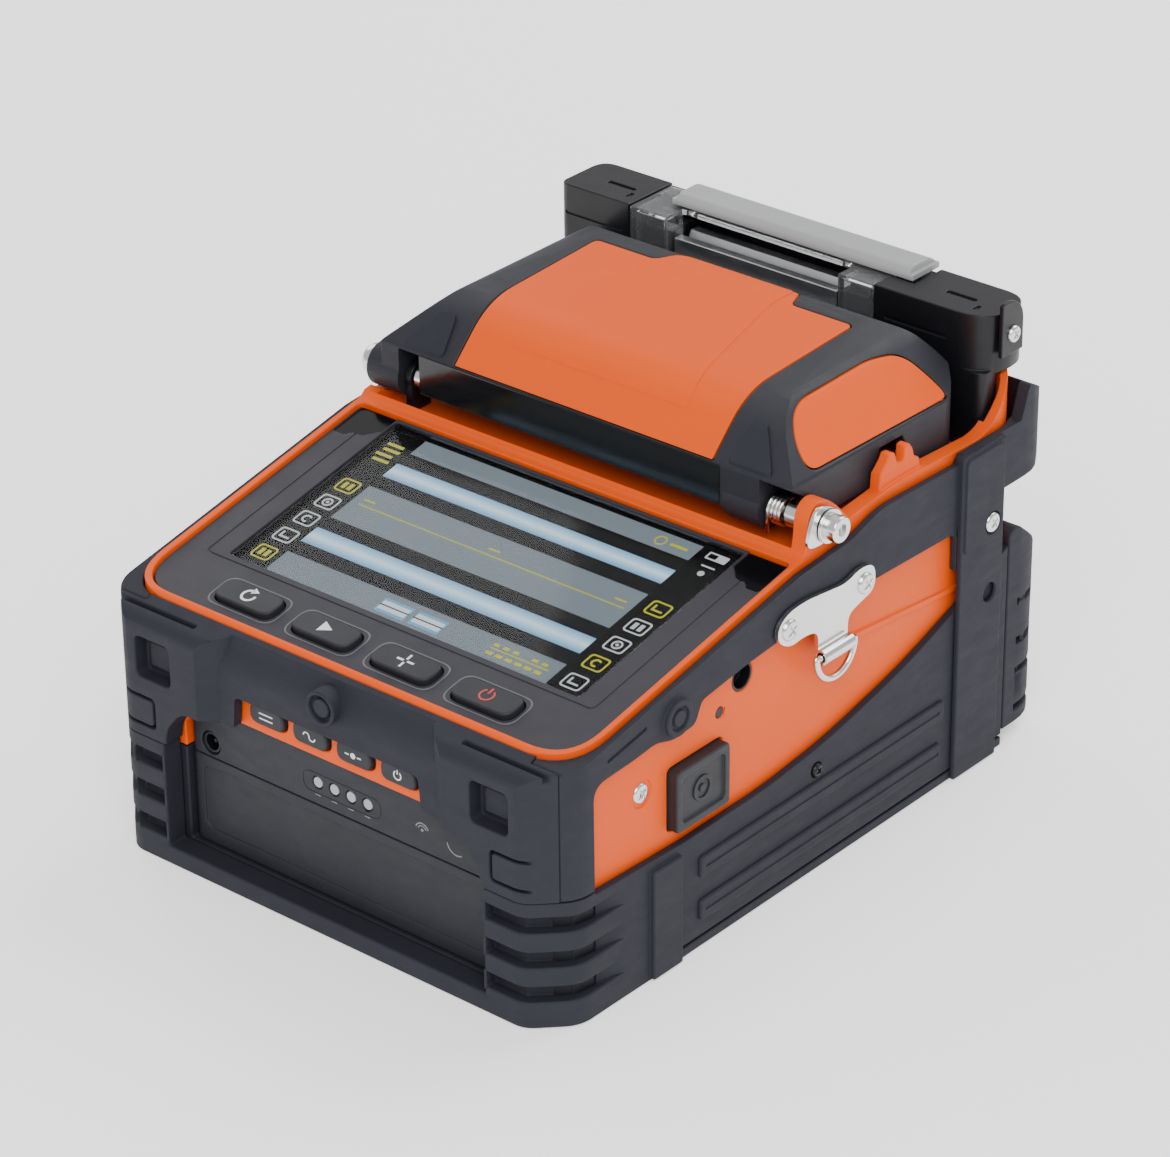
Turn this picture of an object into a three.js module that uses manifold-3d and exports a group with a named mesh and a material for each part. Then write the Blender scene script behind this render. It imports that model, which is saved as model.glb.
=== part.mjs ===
// Fiber fusion splicer: a bench and field instrument with a sloping control panel, a forward-opening
// wind cover, a rear sleeve heater, a drawer battery at the front and a rubber bumper set.
// Millimetres. X is to the right of the operator, Y points away from the operator, Z is up.
// Every outline below is drawn with y = 0 on the front face; the last group moves the origin to the
// bottom centre of the footprint.
import * as THREE from 'three';
import { mergeVertices } from 'three/addons/utils/BufferGeometryUtils.js';
import Module from 'manifold-3d';

const wasm = await Module();
wasm.setup();

// ---------------------------------------------------------------- driving dimensions
const GAP = 0.3;                     // clearance between neighbouring pieces
const WALL = 2.4;                    // moulded wall thickness

const RUBBER_HALF = 73.5;            // outer half width of the bumpers
const DEPTH = 196.5;                 // front face to the back of the bumper loop
const CORNER_CUT = 9.5;              // front corner facet of the bumpers
const REAR_RADIUS = 13;              // rear corner radius of the bumpers

const CASE_HALF = 71.2;              // half width of the case
const CASE_FRONT = 6.5;              // front wall of the case
const CASE_REAR = 184.5;             // rear wall of the case
const CASE_RADIUS = 11;              // vertical edge radius of the case
const CASE_SPLIT = 31;               // height where the lower case meets the upper case
const FLOOR = 2.6;                   // underside of the lower case

const PANEL_RISE = 0.2;              // rise of the control panel per unit of depth
const PANEL_Y = 9.5;                 // front point of the trim crest
const PANEL_Z = 70.1;                // height of the trim crest there
const PANEL_DROP = 1;                // control panel below the trim crest
const PANEL_THICK = 2.4;
const PANEL_HALF = 69.2;             // half width of the control panel
const PANEL_START = 1.4;             // panel start and end, measured up the slope
const PANEL_END = 84.9;
const TRIM_FRONT = 8.6;              // front edge of the trim ring
const TRIM_RADIUS = 14;

const GLASS_HALF = 56;               // half width of the display window
const GLASS_START = 21.2;
const GLASS_END = 83.6;

const KEY_PITCH = 25.5;              // spacing of the four panel keys
const KEY_WIDTH = 19;
const KEY_DEPTH = 7.8;
const KEY_PLACE = 9.2;               // key centre line, measured up the slope
const KEY_PROUD = 1.6;

const STRIP_KEY_PITCH = 14.2;        // spacing of the four small front keys
const STRIP_KEY_WIDTH = 11.2;
const STRIP_KEY_HEIGHT = 5.6;
const STRIP_KEY_Z = 50.4;

const HINGE_Y = 103;                 // wind cover hinge axis, along X
const HINGE_Z = 94;
const BARREL_RADIUS = 6;
const BARREL_IN = 45;                // inner and outer end of the right hinge barrel
const BARREL_OUT = 56;
const LEFT_BARREL_IN = 60.2;         // the left barrel stands over the case wall
const LEFT_BARREL_OUT = 71.2;

const TRAY_HALF = 67;                // splicing bay, a sunken tray under the wind cover
const TRAY_FLOOR = 84.5;
const TRAY_FRONT = 96.4;
const TRAY_REAR = 182;
const LID_HALF = 66.2;
const LID_REAR = 170;

const BAY_HALF = 50.4;               // battery bay
const BAY_REAR = 127;
const BAY_ROOF = 44.6;
const PACK_HALF = 50;                // battery pack
const PACK_FRONT = 7.5;
const PACK_REAR = 124.5;
const PACK_BOTTOM = 5.4;
const PACK_TOP = 44.2;
const PACK_SPLIT = 30.2;
const PACK_CHAMFER_LOW = 38.2;       // the pack's upper long edges are chamfered from this height
const PACK_CHAMFER_HALF = 45;        // half width of the pack above the chamfers

const STAGE_Y = 135.5;               // fibre line, along X through the arc point
const STAGE_TOP = 86.4;

const HEATER_FRONT = 172.4;
const HEATER_REAR = 190.6;
const HEATER_LOW = 105;
const HEATER_TOP = 121;
const COVER_LEFT = -46;              // clear heater cover
const COVER_RIGHT = 33;
const COVER_AXIS_Y = 190.6;
const COVER_AXIS_Z = 121;

const BRACKET_IN = 73.8;             // strap bracket, a steel plate over the bumper rail
const BRACKET_THICK = 1.2;
const RING_Y = 102.7;                // D-ring bar centre
const RING_Z = 61.5;
const RING_X = 75.8;
const RING_WIRE = 0.9;
const RING_RADIUS = 7.5;

// ---------------------------------------------------------------- materials
const finish = (color, roughness, metalness = 0, opacity = 1) =>
  new THREE.MeshStandardMaterial({ color, roughness, metalness, opacity, transparent: opacity < 1 });
const ORANGE = finish(0xe8661c, 0.45);
const RUBBER = finish(0x33343c, 0.8);
const DARK_PLASTIC = finish(0x2b2c33, 0.6);
const BEZEL_GREY = finish(0x4a4a52, 0.5);
const KEY_BLACK = finish(0x26272c, 0.6);
const STEEL = finish(0xc9c9cb, 0.25, 1);
const ALUMINIUM = finish(0xb4b7bb, 0.4, 1);
const GLASS = finish(0x14161a, 0.08);
const CLEAR = finish(0xdfe6ea, 0.08, 0, 0.35);
const DISPLAY = finish(0x84939b, 0.4);
const BOARD_GREEN = finish(0x1f5a38, 0.6);
const CERAMIC = finish(0xe9e6df, 0.5);
const BRASS = finish(0xc8a45a, 0.35, 1);
const CELL_BLUE = finish(0x2f5f9e, 0.5);
const LAMP = finish(0xcfd6d8, 0.3);
const COVER_GREY = finish(0x9b9c9d, 0.4);

// ---------------------------------------------------------------- solids from three.js geometry
function solid(geometry) {
  const bare = geometry.clone();
  bare.deleteAttribute('normal');
  bare.deleteAttribute('uv');
  const merged = mergeVertices(bare, 1e-4);
  return new wasm.Manifold(new wasm.Mesh({
    numProp: 3,
    vertProperties: Float32Array.from(merged.attributes.position.array),
    triVerts: Uint32Array.from(merged.index.array),
  }));
}

function geometryOf(body) {
  const mesh = body.getMesh();
  const geometry = new THREE.BufferGeometry();
  geometry.setAttribute('position', new THREE.BufferAttribute(mesh.vertProperties, 3));
  geometry.setIndex(new THREE.BufferAttribute(mesh.triVerts, 1));
  return geometry;
}

const join = (first, ...others) => others.reduce((sum, other) => sum.add(other), first);
const cut = (first, ...others) => others.reduce((rest, other) => rest.subtract(other), first);
const common = (first, ...others) => others.reduce((rest, other) => rest.intersect(other), first);
const mirrored = (body) => body.mirror([1, 0, 0]);
const both = (body) => join(body, mirrored(body));

// Outline through [u, v] points; a third value rounds that corner, taking that length off each side,
// or half of the side where it is shorter.
function outline(points) {
  const shape = new THREE.Shape();
  points.forEach(([u, v, round = 0], index) => {
    const here = new THREE.Vector2(u, v);
    const before = new THREE.Vector2(...points.at(index - 1).slice(0, 2));
    const after = new THREE.Vector2(...points[(index + 1) % points.length].slice(0, 2));
    const arrive = before.sub(here);
    const depart = after.sub(here);
    const enter = here.clone().add(arrive.setLength(Math.min(round, arrive.length() / 2)));
    const leave = here.clone().add(depart.setLength(Math.min(round, depart.length() / 2)));
    if (index === 0) shape.moveTo(enter.x, enter.y);
    else shape.lineTo(enter.x, enter.y);
    if (round > 0) shape.quadraticCurveTo(here.x, here.y, leave.x, leave.y);
  });
  shape.closePath();
  return shape;
}

const rectangle = (u0, u1, v0, v1, round = 0) =>
  outline([[u0, v0, round], [u1, v0, round], [u1, v1, round], [u0, v1, round]]);

function disc(u, v, radius, sides = 10) {
  const corners = Array.from({ length: sides }, (_, i) => {
    const angle = (2 * Math.PI * (i + 0.5)) / sides;
    return new THREE.Vector2(u + radius * Math.cos(angle), v + radius * Math.sin(angle));
  });
  return new THREE.Shape(corners);
}

const ROUND_STEPS = 3;               // facets on a rounded corner
const extruded = (shape, length) =>
  new THREE.ExtrudeGeometry(shape, { depth: length, bevelEnabled: false, curveSegments: ROUND_STEPS });

// An (x, y) outline raised from one height to another.
function raised(shape, low, high) {
  return solid(extruded(shape, high - low).translate(0, 0, low));
}

// A (y, z) outline swept across the width, from one x to another.
function across(shape, left, right) {
  const turn = new THREE.Matrix4().set(0, 0, 1, left, 1, 0, 0, 0, 0, 1, 0, 0, 0, 0, 0, 1);
  return solid(extruded(shape, right - left).applyMatrix4(turn));
}

// An (x, z) outline pushed into the depth, from one y to another.
function inward(shape, front, back) {
  const turn = new THREE.Matrix4().set(1, 0, 0, 0, 0, 0, -1, back, 0, 1, 0, 0, 0, 0, 0, 1);
  return solid(extruded(shape, back - front).applyMatrix4(turn));
}

function block(x0, x1, y0, y1, z0, z1) {
  const box = new THREE.BoxGeometry(x1 - x0, y1 - y0, z1 - z0);
  return solid(box.translate((x0 + x1) / 2, (y0 + y1) / 2, (z0 + z1) / 2));
}

// Control panel frame: u is to the right, v runs up the slope from the trim crest, w stands off it.
const PANEL_ANGLE = Math.atan(PANEL_RISE);
const PANEL_FRAME = new THREE.Matrix4().makeTranslation(0, PANEL_Y, PANEL_Z)
  .multiply(new THREE.Matrix4().makeRotationX(PANEL_ANGLE));
const onPanel = (shape, low, high) =>
  solid(extruded(shape, high - low).translate(0, 0, low).applyMatrix4(PANEL_FRAME));
const crest = (y) => PANEL_Z + PANEL_RISE * (y - PANEL_Y);

// ---------------------------------------------------------------- shared volumes
const bumperPlan = () => outline([
  [-RUBBER_HALF + CORNER_CUT, 0, 3], [RUBBER_HALF - CORNER_CUT, 0, 3], [RUBBER_HALF, CORNER_CUT, 4],
  [RUBBER_HALF, DEPTH, REAR_RADIUS], [-RUBBER_HALF, DEPTH, REAR_RADIUS], [-RUBBER_HALF, CORNER_CUT, 4],
]);
const casePlan = (grow) => rectangle(
  -CASE_HALF - grow, CASE_HALF + grow, CASE_FRONT - grow, CASE_REAR + grow, CASE_RADIUS + grow);
const trimPlan = (grow) => outline([
  [-CASE_HALF - grow, TRIM_FRONT - grow, TRIM_RADIUS + grow],
  [CASE_HALF + grow, TRIM_FRONT - grow, TRIM_RADIUS + grow],
  [CASE_HALF + grow, CASE_REAR + grow, CASE_RADIUS + grow],
  [-CASE_HALF - grow, CASE_REAR + grow, CASE_RADIUS + grow],
]);
const LEDGE = 66.2;                  // top of the case front wall, under the trim ring

// Everything the bumpers may fill: inside their outer plan and outside the case.
const bumperSpace = cut(
  raised(bumperPlan(), 0, 110), raised(casePlan(GAP), -1, LEDGE + GAP), raised(trimPlan(GAP), 60, 111));

const hingeDisc = (radius, left, right, sides = 12) =>
  across(disc(HINGE_Y, HINGE_Z, radius, sides), left, right);

// ---------------------------------------------------------------- case
const BUTTON = { y0: 44.5, y1: 64.5, z0: 35.6, z1: 52.4, round: 1.6 };
const buttonShape = (grow) => rectangle(
  BUTTON.y0 - grow, BUTTON.y1 + grow, BUTTON.z0 - grow, BUTTON.z1 + grow, BUTTON.round);
const RIDGE_TOP = 88.2;              // orange wall between display and wind cover

function upperCase() {
  const side = outline([
    [CASE_FRONT, CASE_SPLIT + GAP], [CASE_FRONT, LEDGE], [TRIM_FRONT, LEDGE],
    [TRIM_FRONT, crest(TRIM_FRONT) - 0.6, 0.5],
    [PANEL_Y, crest(PANEL_Y), 0.5], [94.6, crest(94.6)], [96.2, 88.6], [111, 91, 3], [134.6, 93.4, 8],
    [157, 92.4, 4], [169.2, 91.5, 6], [176, 97.4, 6], [181, 104.6, 1.5], [CASE_REAR, 104.6, 1],
    [CASE_REAR, CASE_SPLIT + GAP],
  ]);
  const body = across(side, -CASE_HALF, CASE_HALF);
  const shell = join(
    common(body, raised(casePlan(0), 0, LEDGE)), common(body, raised(trimPlan(0), LEDGE - 0.1, 130)));
  const ear = across(outline([
    [95, 84], [96.6, 91.7, 3], [97, 99, 4], [102, 101.4, 4], [107.6, 97.6, 4], [113, 91.6], [113, 84],
  ]), TRAY_HALF, CASE_HALF);
  const comb = across(outline([
    [126.4, 88], [127.4, 97], [130, 99.4], [131, 101, 0.5], [133, 100.8, 0.5], [134.2, 97.5], [136.8, 97.3],
    [137.2, 100.8, 0.5], [139, 101, 0.5], [140.4, 99.2], [141, 97], [143.2, 95.6], [144.6, 88],
  ]), TRAY_HALF, TRAY_HALF + 3);
  const hollowSide = outline([
    [CASE_FRONT + WALL, 20], [CASE_FRONT + WALL, 62.6], [96, 80], [100, 82], [TRAY_REAR, 82], [TRAY_REAR, 20],
  ]);
  const hollow = common(
    across(hollowSide, -CASE_HALF, CASE_HALF), raised(casePlan(-WALL), 10, 100));
  const panelPocket = onPanel(outline([
    [-PANEL_HALF - GAP, PANEL_START - GAP, 12], [PANEL_HALF + GAP, PANEL_START - GAP, 12],
    [PANEL_HALF + GAP, PANEL_END + GAP, 2], [-PANEL_HALF - GAP, PANEL_END + GAP, 2],
  ]), -PANEL_DROP - PANEL_THICK - GAP, 12);
  const panelOpening = onPanel(rectangle(-66, 66, 3.6, 81, 8), -14, 0);
  const bayOpening = inward(outline([
    [-BAY_HALF, 20], [BAY_HALF, 20], [BAY_HALF, PACK_CHAMFER_LOW], [PACK_CHAMFER_HALF + GAP, BAY_ROOF],
    [-PACK_CHAMFER_HALF - GAP, BAY_ROOF], [-BAY_HALF, PACK_CHAMFER_LOW],
  ]), 0, 20);
  const tray = join(
    block(-TRAY_HALF, TRAY_HALF, TRAY_FRONT, TRAY_REAR, TRAY_FLOOR, 130),
    raised(outline([
      [-68.4, 171.8], [68.4, 171.8], [68.4, TRAY_REAR, 8], [-68.4, TRAY_REAR, 8],
    ]), TRAY_FLOOR, 130));
  const ridge = across(outline([
    [93.8, 84], [93.9, 86.6], [95.6, RIDGE_TOP, 0.6], [TRAY_FRONT, 87, 0.4], [TRAY_FRONT, 84],
  ]), -65.5, 65.5);
  const stageHole = block(-45, 45, STAGE_Y - 23.4, STAGE_Y + 23.4, 80, 90);
  const barrelRoom = hingeDisc(BARREL_RADIUS + 0.6, -CASE_HALF - 5, -LEFT_BARREL_IN + 1, 24);
  const bayRoof = block(-BAY_HALF - 2, BAY_HALF + 2, 8.5, BAY_REAR + 2, BAY_ROOF, BAY_ROOF + 2);
  const bayWall = block(BAY_HALF, BAY_HALF + 2, 8.5, BAY_REAR + 2, CASE_SPLIT + GAP, BAY_ROOF + 1);
  const holes = join(
    ...[1, -1].map((sideOf) => {
      const from = sideOf > 0 ? 66 : -76;
      return join(
        across(buttonShape(GAP), from, from + 10), across(disc(71, 65.8, 3.4), from, from + 10),
        across(disc(63.9, 59.4, 1.2), from, from + 10));
    }));
  const stripHoles = join(...[-1.5, -0.5, 0.5, 1.5].map((step) => inward(stripKeyShape(step, GAP), 0, 20)));
  const pinBore = join(hingeDisc(2.5, TRAY_HALF - 1, 68.5), hingeDisc(1.9, 69.4, 75));
  const buttonSlot = both(block(48, 55, 49, 60, 36, 43));
  const open = cut(shell, hollow, panelPocket, panelOpening, bayOpening, tray, stageHole);
  const whole = join(open, ear, both(comb), ridge, bayRoof, both(bayWall));
  return cut(whole, holes, stripHoles, pinBore, barrelRoom, buttonSlot);
}

function lowerCase() {
  const outer = raised(casePlan(0), FLOOR, CASE_SPLIT);
  const inner = raised(casePlan(-WALL), FLOOR + WALL, CASE_SPLIT + 1);
  const mouth = block(-BAY_HALF, BAY_HALF, 0, 20, FLOOR + WALL, CASE_SPLIT + 1);
  const bayWall = block(BAY_HALF, BAY_HALF + 2, CASE_FRONT, BAY_REAR + 2, FLOOR + 1, CASE_SPLIT);
  const bayBack = block(-BAY_HALF - 1, BAY_HALF + 1, BAY_REAR, BAY_REAR + 2, FLOOR + 1, CASE_SPLIT);
  return join(cut(outer, inner, mouth), common(both(bayWall), outer), bayBack);
}

function basePlate() {
  const vents = [-16, 0, 16].map((x) => raised(rectangle(x - 2, x + 2, 140, 165, 1.8), 0, 4));
  return cut(raised(rectangle(-56, 56, 18, 174, 6), 0.7, FLOOR - GAP), ...vents);
}

// ---------------------------------------------------------------- bumpers
const FRONT_SEAM = 6.2;              // side seam between the front bumper and the rail
const TOWER_IN = 36;                 // inner edge of the two front corner towers
const MIDDLE_FRONT = 3.2;            // the bumper steps back between the towers
const SKIRT_TOP = 34;
const LIP_HALF = 61.7;               // half width of the front bumper's lip behind the side seams
const STRAP_FRONT = 155;             // rear side strap, down over the lower bumper
const STRAP_REAR = 173.2;
const STRAP_OUT = 75;
const LOWER_END = 178;               // seam between the lower and the rear bumper

const batteryMouth = () => outline([
  [-52, 8, 3], [52, 8, 3], [52, 37, 3], [45.5, 45, 3], [30.4, 45, 1], [29.6, 54, 1.5], [-29.6, 54, 1.5],
  [-30.4, 45, 1], [-45.5, 45, 3], [-52, 37, 3],
]);

function bumperFront() {
  const side = outline([
    [0, SKIRT_TOP + GAP], [0, 65.6, 1], [1.6, 67.3, 1], [TRIM_FRONT - GAP, 69.2], [20, 71.4],
    [20, SKIRT_TOP + GAP],
  ]);
  const front = common(bumperSpace, across(side, -80, 80), block(-80, 80, -1, FRONT_SEAM, 0, 80));
  const topLip = common(
    bumperSpace, across(side, -80, 80), block(-LIP_HALF, LIP_HALF, 0, 12, LEDGE + GAP, 80));
  const stepBack = raised(outline([
    [-TOWER_IN, -1], [TOWER_IN, -1], [TOWER_IN - 3, MIDDLE_FRONT], [-TOWER_IN + 3, MIDDLE_FRONT],
  ]), 0, 64);
  const notch = inward(rectangle(48.4, 60, 50.8, 62, 1.2), -1, 4);
  const padGroove = cut(
    inward(rectangle(54.2, 80, 37, 45.6, 1), -1, 1.6), inward(rectangle(54.9, 80, 37.7, 44.9, 0.6), -2, 3));
  const bossDisc = (radius, from, to) => inward(disc(0.6, 62.6, radius), from, to);
  const boss = join(cut(bossDisc(4.6, 1.2, 6), bossDisc(3.4, 0, 2)), bossDisc(2.4, 1.6, 4));
  const hollows = [stepBack, inward(batteryMouth(), -1, 7), both(notch), both(padGroove)];
  return join(cut(join(front, topLip), ...hollows), boss);
}

function bumperRail() {
  const side = outline([
    [FRONT_SEAM + GAP, SKIRT_TOP + GAP], [FRONT_SEAM + GAP, 68.4, 1], [17.7, 70.4, 3],
    [91.9, 85.4, 1.5], [95, 85.6], [111.4, 86.8, 2], [123.3, 90.6, 5], [154.9, 89.8], [156.8, 92],
    [181.5, 92], [184.8, 101, 2], [DEPTH, 94.4, 2], [DEPTH, 84, 4], [191, 75.4, 3], [STRAP_REAR, 75.3],
    [STRAP_REAR, 60], [STRAP_FRONT, 60], [STRAP_FRONT, 70.9, 3], [126, 71.7], [105.9, 72.2, 4],
    [86.3, 70.4, 4], [71, 68], [54.5, 66.8, 1.5], [52.2, 62.3, 2], [44.1, 61.6, 2], [37.5, 63.6, 2],
    [30.2, 62.8], [15.1, 62, 4], [15.3, SKIRT_TOP + GAP],
  ]);
  const reach = cut(
    block(-80, 80, FRONT_SEAM + GAP, 200, 0, 110), block(-LIP_HALF - GAP, LIP_HALF + GAP, 0, 20, 0, 110));
  const band = common(bumperSpace, across(side, -80, 80), reach);
  const channel = raised(rectangle(-70, 70, 170, 193, 10), 78.5, 120);
  const behindCase = cut(channel, raised(casePlan(GAP), 0, 130));
  const strap = across(rectangle(STRAP_FRONT, STRAP_REAR, 0, 91.8, 0.8), RUBBER_HALF + GAP, STRAP_OUT);
  const strapRoot = across(rectangle(STRAP_FRONT, STRAP_REAR, 72, 91.8, 0.8), 72, STRAP_OUT);
  const strapHole = across(disc(168.1, 49.3, 2.6), 70, 80);
  const boss = across(disc(44.8, 67.6, 4.8), 72, 74.6);
  const bossDimple = across(disc(44.8, 67.6, 2.9), 74, 78);
  const straps = both(cut(join(strap, strapRoot), strapHole));
  const bosses = both(cut(boss, bossDimple));
  return join(cut(band, behindCase), straps, bosses);
}

function bumperLower() {
  const side = outline([
    [-1, 0], [46, 0], [47.5, 3], [LOWER_END, 3], [LOWER_END, 58], [173.6, 56.4], [158.1, 49.8, 4],
    [135.4, 41.8, 12], [102.9, 34.7, 12], [79.3, 32.4, 8], [48.6, 32, 4], [15.6, 33.4],
    [15.3, SKIRT_TOP], [-1, SKIRT_TOP],
  ]);
  const reach = cut(
    block(-80, 80, -1, LOWER_END, 0, 120), block(-70.8, 70.8, FRONT_SEAM, 180, 2.4, 130));
  const skirts = common(bumperSpace, across(side, -80, 80), reach);
  const sill = block(-52, 52, -1, 12, -1, 2.4);
  const flange = cut(
    common(raised(bumperPlan(), 0, FLOOR - GAP), block(-80, 80, -1, LOWER_END, 0, 5)),
    block(-58, 58, 16, 190, -1, 5), sill);
  const lip = block(-53, 53, 2.2, FRONT_SEAM, 2, 5);
  const mouth = inward(rectangle(-52, 52, 5, 60), -2, 7);
  const grooveFloor = outline([
    [0, 3.4], [RUBBER_HALF - CORNER_CUT - 1.4, 3.4], [RUBBER_HALF - 3.4, CORNER_CUT + 1.4],
    [RUBBER_HALF + 1, 30], [RUBBER_HALF + 1, 100], [0, 100],
  ]);
  const ridgeGrooves = [7, 16.5, 26].map((z) => both(cut(
    raised(bumperPlan(), z, z + 4), raised(grooveFloor, z - 1, z + 5),
    block(-80, 52, -5, 250, 0, 40), block(0, 80, 30, 250, 0, 40))));
  const frontStrap = both(across(rectangle(35, 46, 0, 30, 0.8), 73, 74.8));
  const rib = (y0, y1, z0, z1) => both(across(rectangle(y0, y1, z0, z1, 1.2), 73, 74.4));
  const screwHole = both(across(disc(99.1, 28.4, 2.1), 72.6, 76));
  const strapRoom = both(
    block(RUBBER_HALF + 0.05, 80, STRAP_FRONT - 0.6, STRAP_REAR + 0.6, -1, 95));
  return cut(
    join(skirts, flange, lip, frontStrap, rib(53, 151, 19.6, 25.4), rib(53, 150, 7.6, 13.4)),
    mouth, ...ridgeGrooves, screwHole, strapRoom);
}

function bumperRear() {
  const side = outline([
    [LOWER_END + GAP, 4], [LOWER_END + GAP, 61, 1], [182, 62.4, 2], [193, 53.4, 3], [193.6, 40],
    [193.6, 4, 2],
  ]);
  const guard = common(bumperSpace, across(side, -80, 80));
  const middle = raised(rectangle(-48, 48, 188, 210, 3), 0, 70);
  const grooves = [8.4, 19.3, 28.2, 39.8].map((z) => cut(
    raised(bumperPlan(), z - 0.9, z + 0.9), raised(rectangle(-72, 72, 150, 192.2, 11), z - 2, z + 2),
    block(-80, 80, -1, 183, 0, 70)));
  return cut(guard, middle, ...grooves);
}

// ---------------------------------------------------------------- control panel
const keyPlace = (step) => step * KEY_PITCH;
const keyShape = (step, grow) => rectangle(
  keyPlace(step) - KEY_WIDTH / 2 - grow, keyPlace(step) + KEY_WIDTH / 2 + grow,
  KEY_PLACE - KEY_DEPTH / 2 - grow, KEY_PLACE + KEY_DEPTH / 2 + grow, 3.6);

function panelBezel() {
  const plate = onPanel(outline([
    [-PANEL_HALF, PANEL_START, 12], [PANEL_HALF, PANEL_START, 12], [PANEL_HALF, PANEL_END, 2],
    [-PANEL_HALF, PANEL_END, 2],
  ]), -PANEL_DROP - PANEL_THICK, -PANEL_DROP);
  const window = onPanel(
    rectangle(-GLASS_HALF - GAP, GLASS_HALF + GAP, GLASS_START - GAP, GLASS_END + GAP, 1), -10, 5);
  const keyHoles = [-1.5, -0.5, 0.5, 1.5].map((step) => onPanel(keyShape(step, GAP), -10, 5));
  return cut(plate, window, ...keyHoles);
}

const screenGlass = () => onPanel(
  rectangle(-GLASS_HALF, GLASS_HALF, GLASS_START, GLASS_END, 1), -PANEL_DROP - 2.1, -PANEL_DROP - 0.3);
const lcdModule = () => onPanel(rectangle(-55.6, 55.6, 21.6, 80.4), -8.2, -PANEL_DROP - 2.4);
const keyBoard = () => onPanel(rectangle(-56, 56, 4.4, 17.4, 1), -8, -6.4);

function panelKey(step) {
  const cap = onPanel(keyShape(step, 0), -4.6, KEY_PROUD - PANEL_DROP);
  const flange = onPanel(rectangle(
    keyPlace(step) - KEY_WIDTH / 2 - 1.6, keyPlace(step) + KEY_WIDTH / 2 + 1.6,
    KEY_PLACE - KEY_DEPTH / 2 - 0.9, KEY_PLACE + KEY_DEPTH / 2 + 0.9, 3), -5.1, -4.1);
  return join(cap, flange);
}

const stripKeyShape = (step, grow) => rectangle(
  step * STRIP_KEY_PITCH - STRIP_KEY_WIDTH / 2 - grow, step * STRIP_KEY_PITCH + STRIP_KEY_WIDTH / 2 + grow,
  STRIP_KEY_Z - STRIP_KEY_HEIGHT / 2 - grow, STRIP_KEY_Z + STRIP_KEY_HEIGHT / 2 + grow, 2.6);

function stripKey(step) {
  const cap = inward(stripKeyShape(step, 0), 5.4, 9.9);
  return join(cap, inward(stripKeyShape(step, 0.9), 9.6, 10.4));
}

function mainBoard() {
  const board = block(-62, 62, 18, 176, 49.6, 51.2);
  const chips = [
    block(-18, 2, 60, 80, 51, 53.4), block(14, 26, 58, 70, 51, 52.6), block(-50, -34, 96, 108, 51, 60),
    block(30, 52, 150, 172, 51, 63), block(-52, -30, 152, 172, 51, 58), block(34, 46, 30, 38, 51, 54),
  ];
  return join(board, ...chips);
}

// ---------------------------------------------------------------- battery pack
const LED_PLACES = [-7.2, -1.8, 3.6, 9];
const LED_Z = 36.6;

const PACK_WALL = 2;
const packSection = (inset) => outline([
  [-PACK_HALF + inset, PACK_BOTTOM + inset], [PACK_HALF - inset, PACK_BOTTOM + inset],
  [PACK_HALF - inset, PACK_CHAMFER_LOW - 0.36 * inset], [PACK_CHAMFER_HALF - 0.47 * inset, PACK_TOP - inset],
  [-PACK_CHAMFER_HALF + 0.47 * inset, PACK_TOP - inset],
  [-PACK_HALF + inset, PACK_CHAMFER_LOW - 0.36 * inset],
]);

function packShell(low, high) {
  const plan = rectangle(-PACK_HALF, PACK_HALF, PACK_FRONT, PACK_REAR, 2.5);
  const shell = common(raised(plan, low, high), inward(packSection(0), PACK_FRONT, PACK_REAR));
  const room = inward(packSection(PACK_WALL), PACK_FRONT + PACK_WALL, PACK_REAR - PACK_WALL);
  return cut(shell, room);
}

function batteryShellUpper() {
  const ledHoles = LED_PLACES.map((x) => inward(disc(x, LED_Z, 1.7), 0, 12));
  const jackHole = inward(disc(-43, 34.4, 3.2), 0, 12);
  return cut(packShell(PACK_SPLIT + GAP, PACK_TOP), ...ledHoles, jackHole);
}

const batteryShellLower = () => packShell(PACK_BOTTOM, PACK_SPLIT);

function batteryCells() {
  const cells = [-37.2, -18.6, 0, 18.6, 37.2].map((x) => inward(disc(x, 24, 9.1, 14), 48, 113));
  const strips = [47.4, 112.4].map((y) => block(-38, 38, y, y + 1.2, 21, 27));
  return join(strips[0], strips[1], ...cells);
}

function chargeLights() {
  const bar = block(-11, 13, 9.8, 11.4, 34.4, 38.8);
  return join(bar, ...LED_PLACES.map((x) => inward(disc(x, LED_Z, 1.4), 7.4, 10)));
}

function dcJack() {
  const body = block(-47, -39, 9.8, 21, 30.9, 38.3);
  return cut(join(body, inward(disc(-43, 34.4, 2.9), 8, 10)), inward(disc(-43, 34.4, 2.1), 0, 19));
}

// ---------------------------------------------------------------- side release buttons
function pushButtonRight() {
  const face = across(buttonShape(0), 68.2, 74);
  const scoop = across(rectangle(49, 63, 36.8, 50, 1), 73.2, 80);
  const stem = block(53.6, 69, 51, 58, 37, 42);
  return join(cut(face, scoop), stem);
}

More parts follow.
